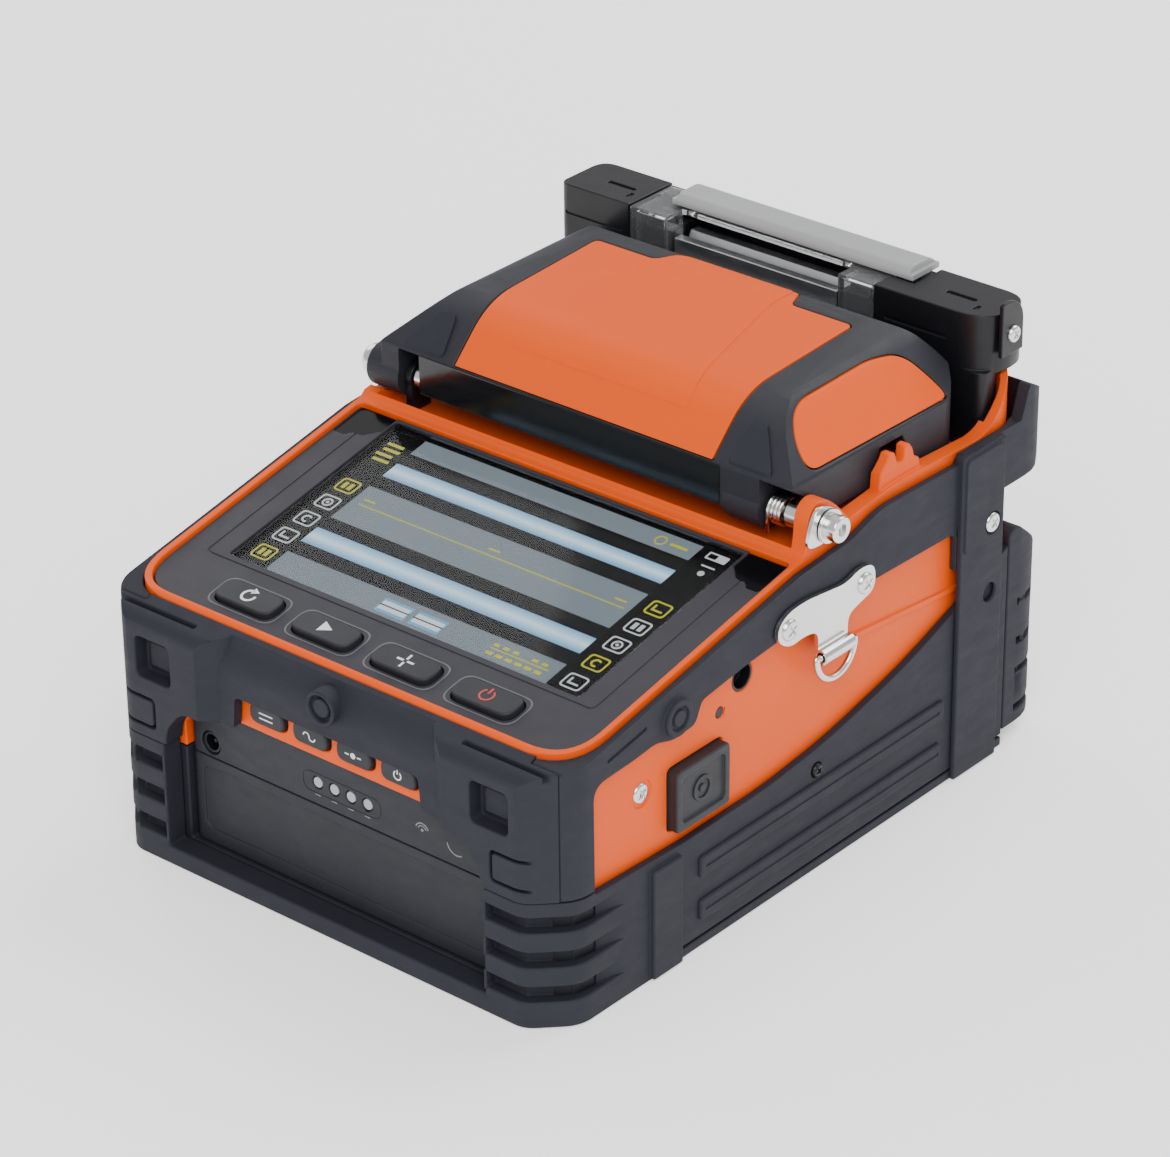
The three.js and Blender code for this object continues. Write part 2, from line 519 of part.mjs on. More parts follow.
// ---------------------------------------------------------------- strap brackets and rings
function strapBracketRight() {
  const plate = across(outline([
    [81, 72, 3], [85.8, 68.8, 3], [91, 69.6, 3], [96.9, 68.6, 3], [96.9, 62], [108.5, 62],
    [108.5, 68, 3], [113, 69.4, 3], [119.6, 71, 4], [119, 78, 3], [113, 79, 3], [107.7, 77.1, 3],
    [92, 79, 3], [85, 78.6, 4], [81.2, 76, 3],
  ]), BRACKET_IN, BRACKET_IN + BRACKET_THICK);
  const roll = cut(
    inward(disc(RING_X, RING_Z, 2, 12), 96.9, 108.5), inward(disc(RING_X, RING_Z, 1.2), 90, 115));
  const bore = inward(disc(RING_X, RING_Z, 1.2), 90, 115);
  const heads = [[85.5, 73.8], [115.2, 74]].map(([y, z]) => across(disc(y, z, 2.6), 74.6, 76.4));
  return join(cut(join(plate, roll), bore), ...heads);
}

function dRingRight() {
  const bend = new THREE.CurvePath();
  const half = RING_RADIUS;
  const points = [];
  const STEPS = 10;
  for (let i = 0; i <= STEPS; i++) {
    const angle = Math.PI + (Math.PI * i) / STEPS;
    points.push(new THREE.Vector3(RING_X, RING_Y + half * Math.cos(angle), RING_Z + half * Math.sin(angle)));
  }
  for (let i = 0; i < STEPS; i++) bend.add(new THREE.LineCurve3(points[i], points[i + 1]));
  const wire = new THREE.ExtrudeGeometry(disc(0, 0, RING_WIRE, 8), {
    steps: STEPS, bevelEnabled: false, extrudePath: bend,
  });
  const bar = inward(disc(RING_X, RING_Z, RING_WIRE, 8), RING_Y - half - 0.6, RING_Y + half + 0.6);
  return join(solid(wire), bar);
}

// ---------------------------------------------------------------- wind cover hinges
function hingePinRight() {
  const head = cut(hingeDisc(3.6, 61.9, 66.4), hingeDisc(1.5, 65, 67, 6));
  return join(hingeDisc(3.1, BARREL_IN - 3.6, BARREL_IN - 0.4), hingeDisc(2.2, BARREL_IN - 3, 68.2), head);
}

function hingePinLeft() {
  return join(hingeDisc(3.1, -LEFT_BARREL_OUT - 3.6, -LEFT_BARREL_OUT - 0.4),
    hingeDisc(2.2, -LEFT_BARREL_OUT - 3, -57.3));
}

function hingeSpring() {
  const TURNS = 3;
  const STEPS = 9;
  const path = new THREE.CatmullRomCurve3(Array.from({ length: TURNS * STEPS + 1 }, (_, i) => {
    const angle = (2 * Math.PI * i) / STEPS;
    const x = 57.1 + (4 * i) / (TURNS * STEPS);
    return new THREE.Vector3(x, HINGE_Y + 3.6 * Math.cos(angle), HINGE_Z + 3.6 * Math.sin(angle));
  }));
  const wire = new THREE.ExtrudeGeometry(disc(0, 0, 0.55, 6), {
    steps: TURNS * STEPS, bevelEnabled: false, extrudePath: path,
  });
  return solid(wire);
}

function hingePlateRight() {
  const teardrop = outline([
    [99, 100.4, 2.5], [106.4, 98, 4], [106.4, 90.6, 4], [100, 89.4, 3], [95, 90.4, 2], [96.4, 96, 4],
  ]);
  return cut(across(teardrop, CASE_HALF + GAP, CASE_HALF + GAP + 1.2), hingeDisc(1.9, 70, 76));
}

function hingePlateLeft() {
  const foot = across(rectangle(HINGE_Y - 3.6, HINGE_Y + 3.6, TRAY_FLOOR + GAP, HINGE_Z), -59.8, -57.6);
  return cut(join(foot, hingeDisc(4, -59.8, -57.6)), hingeDisc(2.5, -61, -57));
}

function hingeScrewRight() {
  const head = cut(hingeDisc(3.4, 73, 77), hingeDisc(1.6, 75, 78, 6));
  return join(head, hingeDisc(1.6, 69.7, 73.2, 10));
}

function hingeScrewLeft() {
  return cut(hingeDisc(3.4, -57.2, -54), hingeDisc(1.6, -55.6, -53, 6));
}

// ---------------------------------------------------------------- wind cover
const lidProfile = (inset) => outline([
  [97.5 + inset, inset > 0 ? 80 : 92], [97.5 + inset, 103.5 - 0.4 * inset, 1],
  [111 + 0.4 * inset, 117 - inset, 6], [153.5, 119 - inset, 4], [162, 118.6 - inset, 4],
  [167.4 - inset, 111, 4], [LID_REAR - inset, 101, 3],
  [LID_REAR - inset, inset > 0 ? 80 : 86],
  ...(inset > 0 ? [] : [[158, 88.4], [130, 91.7], [114, 91.7], [106, 92]]),
]);
const lidSection = (inset) => outline([
  [-LID_HALF + inset, 80], [-LID_HALF + inset, 103.5 - 0.43 * inset, 1],
  [-52 + 0.5 * inset, 117 - 0.9 * inset, 3], [-43, 119 - inset], [-40, 125], [40, 125], [43, 119 - inset],
  [52 - 0.5 * inset, 117 - 0.9 * inset, 3], [LID_HALF - inset, 103.5 - 0.43 * inset, 1],
  [LID_HALF - inset, 80],
]);
const lidPlan = (inset) => outline([
  [-LID_HALF + inset, 97.5 + inset], [LID_HALF - inset, 97.5 + inset],
  [LID_HALF - inset, 162 - 0.4 * inset, 5], [58 - 0.4 * inset, LID_REAR - inset, 5],
  [-58 + 0.4 * inset, LID_REAR - inset, 5], [-LID_HALF + inset, 162 - 0.4 * inset, 5],
]);
const lidVolume = (inset) => common(
  across(lidProfile(inset), -LID_HALF, LID_HALF), inward(lidSection(inset), 90, 180),
  raised(lidPlan(inset), 70, 130));

const SKIN = 1.6;                    // thickness of the orange inlays
const topPlan = (grow) => outline([
  [-41.3 - grow, 90], [41.3 + grow, 90], [41.3 + grow, 153.4 + grow, 2], [22, 153.4 + grow, 2],
  [18.5, 162 + grow, 3], [-18.5, 162 + grow, 3], [-22, 153.4 + grow, 2], [-41.3 - grow, 153.4 + grow, 2],
]);
const insertOutline = (grow) => outline([
  [105.4 - grow, 104.6 - grow, 4], [160.8 + grow, 104 - grow, 3], [159.4 + grow, 108, 3],
  [155.6, 114.4 + grow, 5], [145, 115.9 + grow, 4], [114.2, 115.6 + grow, 6], [107.4 - grow, 110.4, 5],
]);

function lidParts() {
  const outer = lidVolume(0);
  const core = lidVolume(SKIN);
  const skin = cut(outer, core);
  const topPanel = common(skin, raised(topPlan(0), 80, 130), block(-60, 60, 90, 180, 103.6, 130));
  const bed = lidVolume(SKIN + GAP);
  const topRoom = cut(common(raised(topPlan(GAP), 80, 130), block(-60, 60, 90, 180, 103.3, 130)), bed);
  const insert = common(skin, across(insertOutline(0), 51.3, 70));
  const insertRoom = cut(across(insertOutline(GAP), 51, 70), bed);
  const barrels = join(
    hingeDisc(BARREL_RADIUS, BARREL_IN, BARREL_OUT),
    across(outline([[97.6, 94], [97.6, 99], [108, 99], [112, 95], [109, 94]]), BARREL_IN, BARREL_OUT),
    hingeDisc(BARREL_RADIUS, -LEFT_BARREL_OUT, -LEFT_BARREL_IN),
    across(outline([[97.6, 94], [97.6, 103.4], [104, 103.4], [110, 97], [109, 94]]),
      -LID_HALF, -LEFT_BARREL_IN));
  const bores = join(hingeDisc(2.5, 30, 60), hingeDisc(2.5, -75, -58));
  const hingeRoom = outline([
    [90, 80], [90, 103], [97.8, 103], [100.4, 101], [104.4, 98.4], [108.5, 94.8], [112.8, 91.4], [113, 80],
  ]);
  const rooms = join(
    across(hingeRoom, BARREL_OUT, 70), across(hingeRoom, -70, -53.2), hingeDisc(3.6, 40, BARREL_IN),
    both(across(outline([[128, 80], [128, 91], [132, 101], [141, 101], [147.4, 90], [147.4, 80]]), 60, 70)));
  const hollow = lidVolume(4);
  const frame = cut(join(cut(outer, hollow, rooms), barrels), bores, topRoom, both(insertRoom));
  return { frame, topPanel, insert };
}

function fibreClamp() {
  const arm = block(-14, 14, STAGE_Y - 9, STAGE_Y + 9, 98, 112.4);
  const feet = [-6.5, 6.5].map((x) => block(x - 2, x + 2, STAGE_Y - 3, STAGE_Y + 3, 92.2, 99));
  return join(arm, ...feet);
}

// ---------------------------------------------------------------- splicing stage
function spliceBase() {
  const flange = block(-47, 47, STAGE_Y - 25, STAGE_Y + 25, TRAY_FLOOR + GAP, STAGE_TOP);
  const body = block(-44.6, 44.6, STAGE_Y - 23, STAGE_Y + 23, 76, TRAY_FLOOR + 1);
  const optics = join(
    block(-15, 15, STAGE_Y - 20, STAGE_Y + 20, 60, 85.7), block(-12, 12, STAGE_Y - 7, STAGE_Y + 7, 80, 90));
  const motorRoom = both(block(20, 40, STAGE_Y - 18, STAGE_Y + 18, 60, 84));
  return cut(join(flange, body), optics, motorRoom);
}

function vGrooveRight() {
  const bridge = block(3.5, 16, STAGE_Y - 5, STAGE_Y + 5, 87.6, 91);
  const leg = block(16, 19, STAGE_Y - 5, STAGE_Y + 5, STAGE_TOP + GAP, 91);
  const groove = across(outline([[STAGE_Y - 0.7, 91.5], [STAGE_Y, 90.3], [STAGE_Y + 0.7, 91.5]]), 0, 30);
  return cut(join(bridge, leg), groove);
}

const ELECTRODE_HOLD = 10.4;         // electrode holder centre, from the arc point

function electrodeAssembly(direction) {
  const rodProfile = [[0, 0], [0.15, 0], [1.1, 3.6], [1.1, 8], [2.4, 8], [2.4, 12.4], [0, 12.4]];
  const lathe = new THREE.LatheGeometry(rodProfile.map(([r, h]) => new THREE.Vector2(r, h)), 12);
  lathe.rotateX(direction > 0 ? Math.PI : 0);
  lathe.translate(0, STAGE_Y - direction * 1.6, 91.2);
  const middle = STAGE_Y - direction * ELECTRODE_HOLD;
  const holder = block(-5, 5, middle - 2.6, middle + 2.6, STAGE_TOP + GAP, 93.6);
  const foot = block(-17, 17, middle - 2.6, middle + 2.6, STAGE_TOP + GAP, 88);
  return join(holder, foot, solid(lathe));
}

function microscope(direction) {
  const tube = new THREE.LatheGeometry(
    [[0, 0], [3.4, 0], [3.4, 6], [5, 6], [5, 19], [0, 19]].map(([r, h]) => new THREE.Vector2(r, h)), 16);
  tube.rotateX(direction > 0 ? 1.25 * Math.PI : -0.25 * Math.PI);
  tube.translate(0, STAGE_Y - direction * 4.6, 83);
  return solid(tube);
}

function driveSledgeRight() {
  const body = block(23, 41, STAGE_Y - 8, STAGE_Y + 8, STAGE_TOP + GAP, 89.6);
  const clamp = block(24.5, 39.5, STAGE_Y - 5, STAGE_Y + 5, 89.4, 93.4);
  const groove = across(outline([[STAGE_Y - 0.8, 94], [STAGE_Y, 92], [STAGE_Y + 0.8, 94]]), 20, 50);
  return cut(join(body, clamp), groove);
}

// ---------------------------------------------------------------- sleeve heater
function heaterBody() {
  const beam = raised(outline([
    [-70, HEATER_FRONT, 3], [69, HEATER_FRONT, 10], [69, HEATER_REAR, 8], [-70, HEATER_REAR, 5],
  ]), HEATER_LOW, HEATER_TOP);
  const channel = block(COVER_LEFT - GAP, COVER_RIGHT + GAP, 170, 186.4, 107.4, 130);
  const skirtSeat = block(COVER_LEFT - GAP, COVER_RIGHT + GAP, 170, HEATER_FRONT + 1.8, 105.7, 130);
  const coverSeat = block(COVER_LEFT - GAP, COVER_RIGHT + GAP, 170, 200, 118.9, 130);
  const barSeat = block(-39, 41, 179.4, 200, 119.8, 130);
  const slots = [-60, 50].map((x) => block(x, x + 9, 180, 181.4, 119.6, 125));
  const foot = block(-58, 58, 175.4, 181.6, TRAY_FLOOR + GAP, HEATER_LOW + 1);
  const pedestal = both(raised(outline([
    [48, HEATER_FRONT], [67.6, HEATER_FRONT, 3], [67.6, 181.6, 8], [48, 181.6],
  ]), TRAY_FLOOR + GAP, HEATER_LOW + 1));
  return cut(join(beam, foot, pedestal), channel, skirtSeat, coverSeat, barSeat, ...slots);
}

function heaterTrough() {
  return across(outline([
    [174.8, 107.8], [184.4, 107.8], [184.4, 114.4], [181.6, 114.4], [179.6, 110, 0.8], [177.6, 114.4],
    [174.8, 114.4],
  ]), -33, 20);
}

const heaterClampAt = (left, right) => join(
  block(left, right, 175, 184.6, 107.8, 115.6), block(left + 2, right - 2, 177, 182, 115.4, 117.6));

function heaterCover() {
  const sheet = block(COVER_LEFT, COVER_RIGHT, HEATER_FRONT + 0.1, 190.2, 119.2, 120.6);
  const skirt = block(COVER_LEFT, COVER_RIGHT, HEATER_FRONT + 0.1, HEATER_FRONT + 1.5, 106, 120);
  const cheeks = [COVER_LEFT, COVER_RIGHT - 1.2].map(
    (x) => block(x, x + 1.2, HEATER_FRONT + 0.1, 184, 108.4, 120));
  return cut(join(sheet, skirt, ...cheeks), block(-34, 22, 170, 179.4, 110, 130));
}

function heaterCoverBar() {
  return across(outline([
    [179.8, 120.9], [COVER_AXIS_Y + 0.9, 120.9], [COVER_AXIS_Y + 0.9, 122.6, 1], [188.6, 124.2, 1],
    [181.6, 124.2, 1], [179.8, 122.4, 1],
  ]), -38, 40);
}

function heaterBracket() {
  const plate = block(69.3, 70.5, 175, 186, 110, 125.6);
  return join(plate, across(disc(180.5, 115, 2.6), 70, 73.6));
}

// ---------------------------------------------------------------- assembly
const ORIGIN = new THREE.Vector3(0, 0, 0);

// A named mesh whose own origin is its reference point in the splicer.
function piece(parent, name, body, material, at = ORIGIN) {
  const geometry = geometryOf(body.translate([-at.x, -at.y, -at.z]));
  geometry.computeVertexNormals();
  const mesh = new THREE.Mesh(geometry, material);
  mesh.name = name;
  mesh.position.copy(at);
  parent.add(mesh);
}

const splicer = new THREE.Group();
const chassis = new THREE.Group();
const windCover = new THREE.Group();
const battery = new THREE.Group();
const heaterLid = new THREE.Group();
const controls = new THREE.Group();
splicer.add(chassis, windCover, battery, heaterLid, controls);

piece(chassis, 'upper_case', upperCase(), ORANGE);
piece(chassis, 'lower_case', lowerCase(), DARK_PLASTIC);
piece(chassis, 'base_plate', basePlate(), ALUMINIUM);
piece(chassis, 'bumper_front', bumperFront(), RUBBER);
piece(chassis, 'bumper_rail', bumperRail(), RUBBER);
piece(chassis, 'bumper_lower', bumperLower(), RUBBER);
piece(chassis, 'bumper_rear', bumperRear(), RUBBER);
piece(chassis, 'panel_bezel', panelBezel(), BEZEL_GREY);
piece(chassis, 'screen_glass', screenGlass(), GLASS);
piece(chassis, 'lcd_module', lcdModule(), DISPLAY);
piece(chassis, 'key_board', keyBoard(), BOARD_GREEN);
piece(chassis, 'main_board', mainBoard(), BOARD_GREEN);
piece(chassis, 'splice_base', spliceBase(), ALUMINIUM);
piece(chassis, 'electrode_front', electrodeAssembly(1), BRASS);
piece(chassis, 'electrode_rear', electrodeAssembly(-1), BRASS);
piece(chassis, 'microscope_front', microscope(1), DARK_PLASTIC);
piece(chassis, 'microscope_rear', microscope(-1), DARK_PLASTIC);
piece(chassis, 'heater_body', heaterBody(), DARK_PLASTIC);
piece(chassis, 'heater_trough', heaterTrough(), ALUMINIUM);
piece(chassis, 'heater_clamp_left', heaterClampAt(-44, -34), DARK_PLASTIC);
piece(chassis, 'heater_clamp_right', heaterClampAt(21, 31), DARK_PLASTIC);
piece(chassis, 'heater_bracket', heaterBracket(), STEEL);

const sides = { right: (body) => body, left: mirrored };
const hingePoint = new THREE.Vector3(0, HINGE_Y, HINGE_Z);
for (const [side, place] of Object.entries(sides)) {
  const sign = side === 'right' ? 1 : -1;
  piece(chassis, `v_groove_${side}`, place(vGrooveRight()), CERAMIC);
  piece(chassis, `strap_bracket_${side}`, place(strapBracketRight()), STEEL);
  const ringPoint = new THREE.Vector3(sign * RING_X, RING_Y, RING_Z);
  const buttonPoint = new THREE.Vector3(sign * 70, 54.5, 44);
  const sledgePoint = new THREE.Vector3(sign * 32, STAGE_Y, 88);
  piece(controls, `d_ring_${side}`, place(dRingRight()), STEEL, ringPoint);
  piece(controls, `push_button_${side}`, place(pushButtonRight()), KEY_BLACK, buttonPoint);
  piece(controls, `drive_sledge_${side}`, place(driveSledgeRight()), ALUMINIUM, sledgePoint);
}

piece(chassis, 'hinge_plate_right', hingePlateRight(), STEEL, hingePoint);
piece(chassis, 'hinge_plate_left', hingePlateLeft(), DARK_PLASTIC, hingePoint);
piece(chassis, 'hinge_screw_right', hingeScrewRight(), STEEL, hingePoint);
piece(chassis, 'hinge_screw_left', hingeScrewLeft(), STEEL, hingePoint);
piece(chassis, 'hinge_pin_right', hingePinRight(), STEEL, hingePoint);
piece(chassis, 'hinge_pin_left', hingePinLeft(), STEEL, hingePoint);
piece(chassis, 'hinge_spring', hingeSpring(), STEEL, hingePoint);

const lid = lidParts();
piece(windCover, 'lid_frame', lid.frame, DARK_PLASTIC, hingePoint);
piece(windCover, 'lid_top_panel', lid.topPanel, ORANGE, hingePoint);
piece(windCover, 'lid_insert_right', lid.insert, ORANGE, hingePoint);
piece(windCover, 'lid_insert_left', mirrored(lid.insert), ORANGE, hingePoint);
piece(windCover, 'fibre_clamp', fibreClamp(), DARK_PLASTIC, hingePoint);

piece(battery, 'battery_shell_upper', batteryShellUpper(), DARK_PLASTIC);
piece(battery, 'battery_shell_lower', batteryShellLower(), DARK_PLASTIC);
piece(battery, 'battery_cells', batteryCells(), CELL_BLUE);
piece(battery, 'charge_lights', chargeLights(), LAMP);
piece(battery, 'dc_jack', dcJack(), DARK_PLASTIC);

const coverHinge = new THREE.Vector3(0, COVER_AXIS_Y, COVER_AXIS_Z);
piece(heaterLid, 'heater_cover', heaterCover(), CLEAR, coverHinge);
piece(heaterLid, 'heater_cover_bar', heaterCoverBar(), COVER_GREY, coverHinge);

const PANEL_KEYS = ['key_reset', 'key_start', 'key_axis', 'key_power'];
PANEL_KEYS.forEach((name, index) => piece(controls, name, panelKey(index - 1.5), KEY_BLACK));
const STRIP_KEYS = ['meter_unit_key', 'meter_wave_key', 'fault_light_key', 'meter_power_key'];
STRIP_KEYS.forEach((name, index) => piece(controls, name, stripKey(index - 1.5), KEY_BLACK));

splicer.position.set(0, -DEPTH / 2, 0);
export default splicer;
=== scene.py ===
"""Looks of a portable fibre fusion splicer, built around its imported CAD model.

Outlines are written in millimetres with x to the operator's right, y = 0 on the front face and
z = 0 on the bench. place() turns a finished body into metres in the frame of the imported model.
"""
import math

import bmesh
import bpy
from mathutils import Matrix, Vector
from mathutils.bvhtree import BVHTree
from mathutils.geometry import delaunay_2d_cdt


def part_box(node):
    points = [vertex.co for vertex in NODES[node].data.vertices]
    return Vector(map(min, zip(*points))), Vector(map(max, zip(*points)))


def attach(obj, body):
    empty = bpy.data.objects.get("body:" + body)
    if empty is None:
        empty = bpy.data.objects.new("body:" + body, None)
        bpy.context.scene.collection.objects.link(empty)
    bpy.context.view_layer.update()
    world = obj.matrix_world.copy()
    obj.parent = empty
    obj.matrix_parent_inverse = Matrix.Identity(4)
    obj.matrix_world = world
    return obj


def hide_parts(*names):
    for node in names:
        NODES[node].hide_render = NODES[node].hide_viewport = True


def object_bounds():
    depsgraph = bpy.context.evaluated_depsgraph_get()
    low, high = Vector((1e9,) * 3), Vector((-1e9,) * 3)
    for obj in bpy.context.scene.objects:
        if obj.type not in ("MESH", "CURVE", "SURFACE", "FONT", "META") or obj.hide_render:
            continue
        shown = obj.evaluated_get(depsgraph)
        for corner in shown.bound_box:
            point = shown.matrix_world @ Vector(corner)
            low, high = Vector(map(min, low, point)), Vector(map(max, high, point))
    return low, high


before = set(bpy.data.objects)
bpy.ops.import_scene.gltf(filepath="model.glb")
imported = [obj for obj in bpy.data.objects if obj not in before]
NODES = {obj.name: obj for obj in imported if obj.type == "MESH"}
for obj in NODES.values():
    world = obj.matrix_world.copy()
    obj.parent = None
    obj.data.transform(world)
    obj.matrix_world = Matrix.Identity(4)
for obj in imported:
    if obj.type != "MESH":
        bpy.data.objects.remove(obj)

CAD_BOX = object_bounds()
FRONT_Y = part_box("bumper_front")[0].y          # the front face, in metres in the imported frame
SCENE = bpy.context.scene

# ---------------------------------------------------------------- driving dimensions, millimetres
GAP = 0.3
RUBBER_HALF, DEPTH, CORNER_CUT, REAR_RADIUS = 73.5, 196.5, 9.5, 13
CASE_HALF, CASE_FRONT, CASE_REAR, CASE_RADIUS, CASE_SPLIT = 71.2, 6.5, 184.5, 11, 31
LEDGE, TRIM_FRONT, TRIM_RADIUS = 66.2, 8.6, 14
PANEL_Y, PANEL_Z, PANEL_RISE, PANEL_DROP, PANEL_HALF = 9.5, 70.1, 0.2, 1.0, 69.2
PANEL_START, PANEL_END = 1.4, 84.9
GLASS_HALF, GLASS_START, GLASS_END = 56, 21.2, 83.6
KEY_PITCH, KEY_WIDTH, KEY_DEPTH, KEY_PLACE, KEY_PROUD = 25.5, 19, 7.8, 9.2, 1.6
STRIP_PITCH, STRIP_WIDTH, STRIP_HEIGHT, STRIP_Z = 14.2, 11.2, 5.6, 50.4
HINGE_Y, HINGE_Z = 103, 94
BARREL_IN, BARREL_OUT, LEFT_BARREL_IN, LEFT_BARREL_OUT = 45, 56, 60.2, 71.2
TRAY_HALF, TRAY_FLOOR, TRAY_FRONT, TRAY_REAR = 67, 84.5, 96.4, 182
LID_HALF, LID_REAR, SKIN = 66.2, 170, 1.6
STAGE_Y, STAGE_TOP = 135.5, 86.4
HEATER_FRONT, HEATER_REAR, HEATER_LOW, HEATER_TOP = 172.4, 190.6, 105, 121
COVER_LEFT, COVER_RIGHT = -46, 33
PACK_HALF, PACK_FRONT, PACK_REAR, PACK_SPLIT = 50, 7.5, 124.5, 30.2
SKIRT_TOP, FRONT_SEAM, LIP_HALF = 34, 6.2, 61.7
STRAP_FRONT, STRAP_REAR, STRAP_OUT, LOWER_END = 155, 173.2, 75, 178
RING_X, RING_Y, RING_Z, RING_RADIUS, RING_WIRE = 75.8, 102.7, 61.5, 7.5, 0.9
STEPS = (-1.5, -0.5, 0.5, 1.5)                 # places of four keys in a row, in pitches
WIDE = 80                                      # further out than either side
# places of round details, (y, z) on the sides and (x, z) on the front
PORT, PLUG, CASE_SCREW = (72.4, 65.6), (63.9, 59.4), (34.9, 50.5)
STRAP_SCREW, SKIRT_SCREW = (167.8, 69.4), (99.1, 28.4)
SIDE_BOSS, BUTTON_MARK = (44.8, 67.6), (54.6, 44)
FRONT_BOSS, JACK = (0.6, 62.6), (-43, 34.4)


# ---------------------------------------------------------------- closed bodies
def outline(points, steps=7):
    """Points (u, v) or (u, v, r): r rounds that corner, taking r off each side of it."""
    path = []
    for index, point in enumerate(points):
        here = Vector(point[:2])
        if len(point) < 3:
            path.append(here)
            continue
        arrive = Vector(points[index - 1][:2]) - here
        depart = Vector(points[(index + 1) % len(points)][:2]) - here
        enter = here + arrive.normalized() * min(point[2], arrive.length / 2)
        leave = here + depart.normalized() * min(point[2], depart.length / 2)
        for step in range(steps + 1):
            t = step / steps
            path.append(enter * (1 - t) ** 2 + here * 2 * t * (1 - t) + leave * t * t)
    return path


def rectangle(u0, u1, v0, v1, r=0.0, steps=7):
    corners = [(u0, v0), (u1, v0), (u1, v1), (u0, v1)]
    return outline([c + (r,) for c in corners] if r else corners, steps)


def centred(u, v, half_wide, half_high, r=0.0):
    return rectangle(u - half_wide, u + half_wide, v - half_high, v + half_high, r)


def symmetric(points):
    """The points of a right half and their mirror images, as one loop from the left front corner."""
    left = [(-point[0], *point[1:]) for point in points]
    return left[:1] + points + left[:0:-1]


def disc(u, v, radius, sides=40):
    turns = [2 * math.pi * (i + 0.5) / sides for i in range(sides)]
    return [Vector((u + radius * math.cos(a), v + radius * math.sin(a))) for a in turns]


def prism(points, low, high, lay):
    """The outline of the points swept from low to high; lay(u, v, w) gives the corner's place."""
    path = outline(points)
    made = bmesh.new()
    rows = [[made.verts.new(lay(p[0], p[1], w)) for p in path] for w in (low, high)]
    made.faces.new(reversed(rows[0]))
    made.faces.new(rows[1])
    for i in range(len(path)):
        j = (i + 1) % len(path)
        made.faces.new((rows[0][i], rows[0][j], rows[1][j], rows[1][i]))
    return closed(made)


def closed(made):
    bmesh.ops.remove_doubles(made, verts=made.verts, dist=1e-4)
    bmesh.ops.recalc_face_normals(made, faces=made.faces)
    mesh = bpy.data.meshes.new("body")
    made.to_mesh(mesh)
    made.free()
    return mesh


def raised(path, low, high):
    return prism(path, low, high, lambda x, y, z: (x, y, z))


def across(path, left, right):
    return prism(path, left, right, lambda y, z, x: (x, y, z))


def inward(path, front, back):
    return prism(path, front, back, lambda x, z, y: (x, y, z))


def block(x0, x1, y0, y1, z0, z1):
    return raised(rectangle(x0, x1, y0, y1), z0, z1)


PANEL_FRAME = Matrix.Translation((0, PANEL_Y, PANEL_Z)) @ Matrix.Rotation(math.atan(PANEL_RISE), 4, "X")


def on_panel(path, low, high):
    """Panel frame: u to the right, v up the slope from the trim crest, w standing off it."""
    return prism(path, low, high, lambda u, v, w: PANEL_FRAME @ Vector((u, v, w)))


def crest(y):
    return PANEL_Z + PANEL_RISE * (y - PANEL_Y)


def turned(profile, sides=40):
    """A closed body of revolution about +X through (radius, x) points that start and end at radius 0."""
    made = bmesh.new()
    rings = []
    for radius, x in profile:
        if radius == 0:
            rings.append([made.verts.new((x, 0, 0))])
            continue
        angles = [2 * math.pi * i / sides for i in range(sides)]
        rings.append([made.verts.new((x, radius * math.cos(a), radius * math.sin(a))) for a in angles])
    for first, second in zip(rings, rings[1:]):
        for i in range(sides):
            j = (i + 1) % sides
            quad = [ring[k % len(ring)] for ring, k in ((first, i), (first, j), (second, j), (second, i))]
            made.faces.new(list(dict.fromkeys(quad)))
    return closed(made)


def tube(points, radius, sides=12, loop=False):
    """A round wire along points; its ends are flat, or it closes on itself when loop is true."""
    made = bmesh.new()
    count = len(points)
    rings = []
    side = None
    for i, point in enumerate(points):
        before = points[i - 1] if i or loop else point
        after = points[(i + 1) % count] if i < count - 1 or loop else point
        along = (after - before).normalized()
        if side is None:
            side = along.orthogonal().normalized()
        side = (side - along * side.dot(along)).normalized()
        other = along.cross(side)
        angles = [2 * math.pi * k / sides for k in range(sides)]
        rings.append([made.verts.new(point + side * radius * math.cos(a) + other * radius * math.sin(a))
            for a in angles])
    for i in range(count if loop else count - 1):
        first, second = rings[i], rings[(i + 1) % count]
        for k in range(sides):
            m = (k + 1) % sides
            made.faces.new((first[k], first[m], second[m], second[k]))
    if not loop:
        made.faces.new(reversed(rings[0]))
        made.faces.new(rings[-1])
    return closed(made)


def combine(operation, first, others):
    """One boolean after another on closed meshes."""
    made = bpy.data.objects.new("first", first)
    SCENE.collection.objects.link(made)
    used = [made]
    for other in others:
        tool = bpy.data.objects.new("tool", other)
        SCENE.collection.objects.link(tool)
        used.append(tool)
        modifier = made.modifiers.new("step", "BOOLEAN")
        modifier.operation = operation
        modifier.solver = "MANIFOLD"
        modifier.object = tool
    result = bpy.data.meshes.new_from_object(made.evaluated_get(bpy.context.evaluated_depsgraph_get()))
    for item in used:
        bpy.data.objects.remove(item)
    return result


def join(first, *others):
    return combine("UNION", first, others)


def cut(first, *others):
    return combine("DIFFERENCE", first, others)


def common(first, *others):
    return combine("INTERSECT", first, others)


def moved(mesh, matrix):
    result = mesh.copy()
    result.transform(matrix)
    if matrix.determinant() < 0:
        result.flip_normals()
    return result


def mirrored(mesh):
    return moved(mesh, Matrix.Scale(-1, 4, (1, 0, 0)))


def pairs(*meshes):
    """Each body followed by its mirror image."""
    return [part for mesh in meshes for part in (mesh, mirrored(mesh))]


SIDES = (("right", lambda mesh: mesh), ("left", mirrored))


def both(mesh):
    """The body and its mirror image as one mesh: they must not touch."""
    return merged(*pairs(mesh))


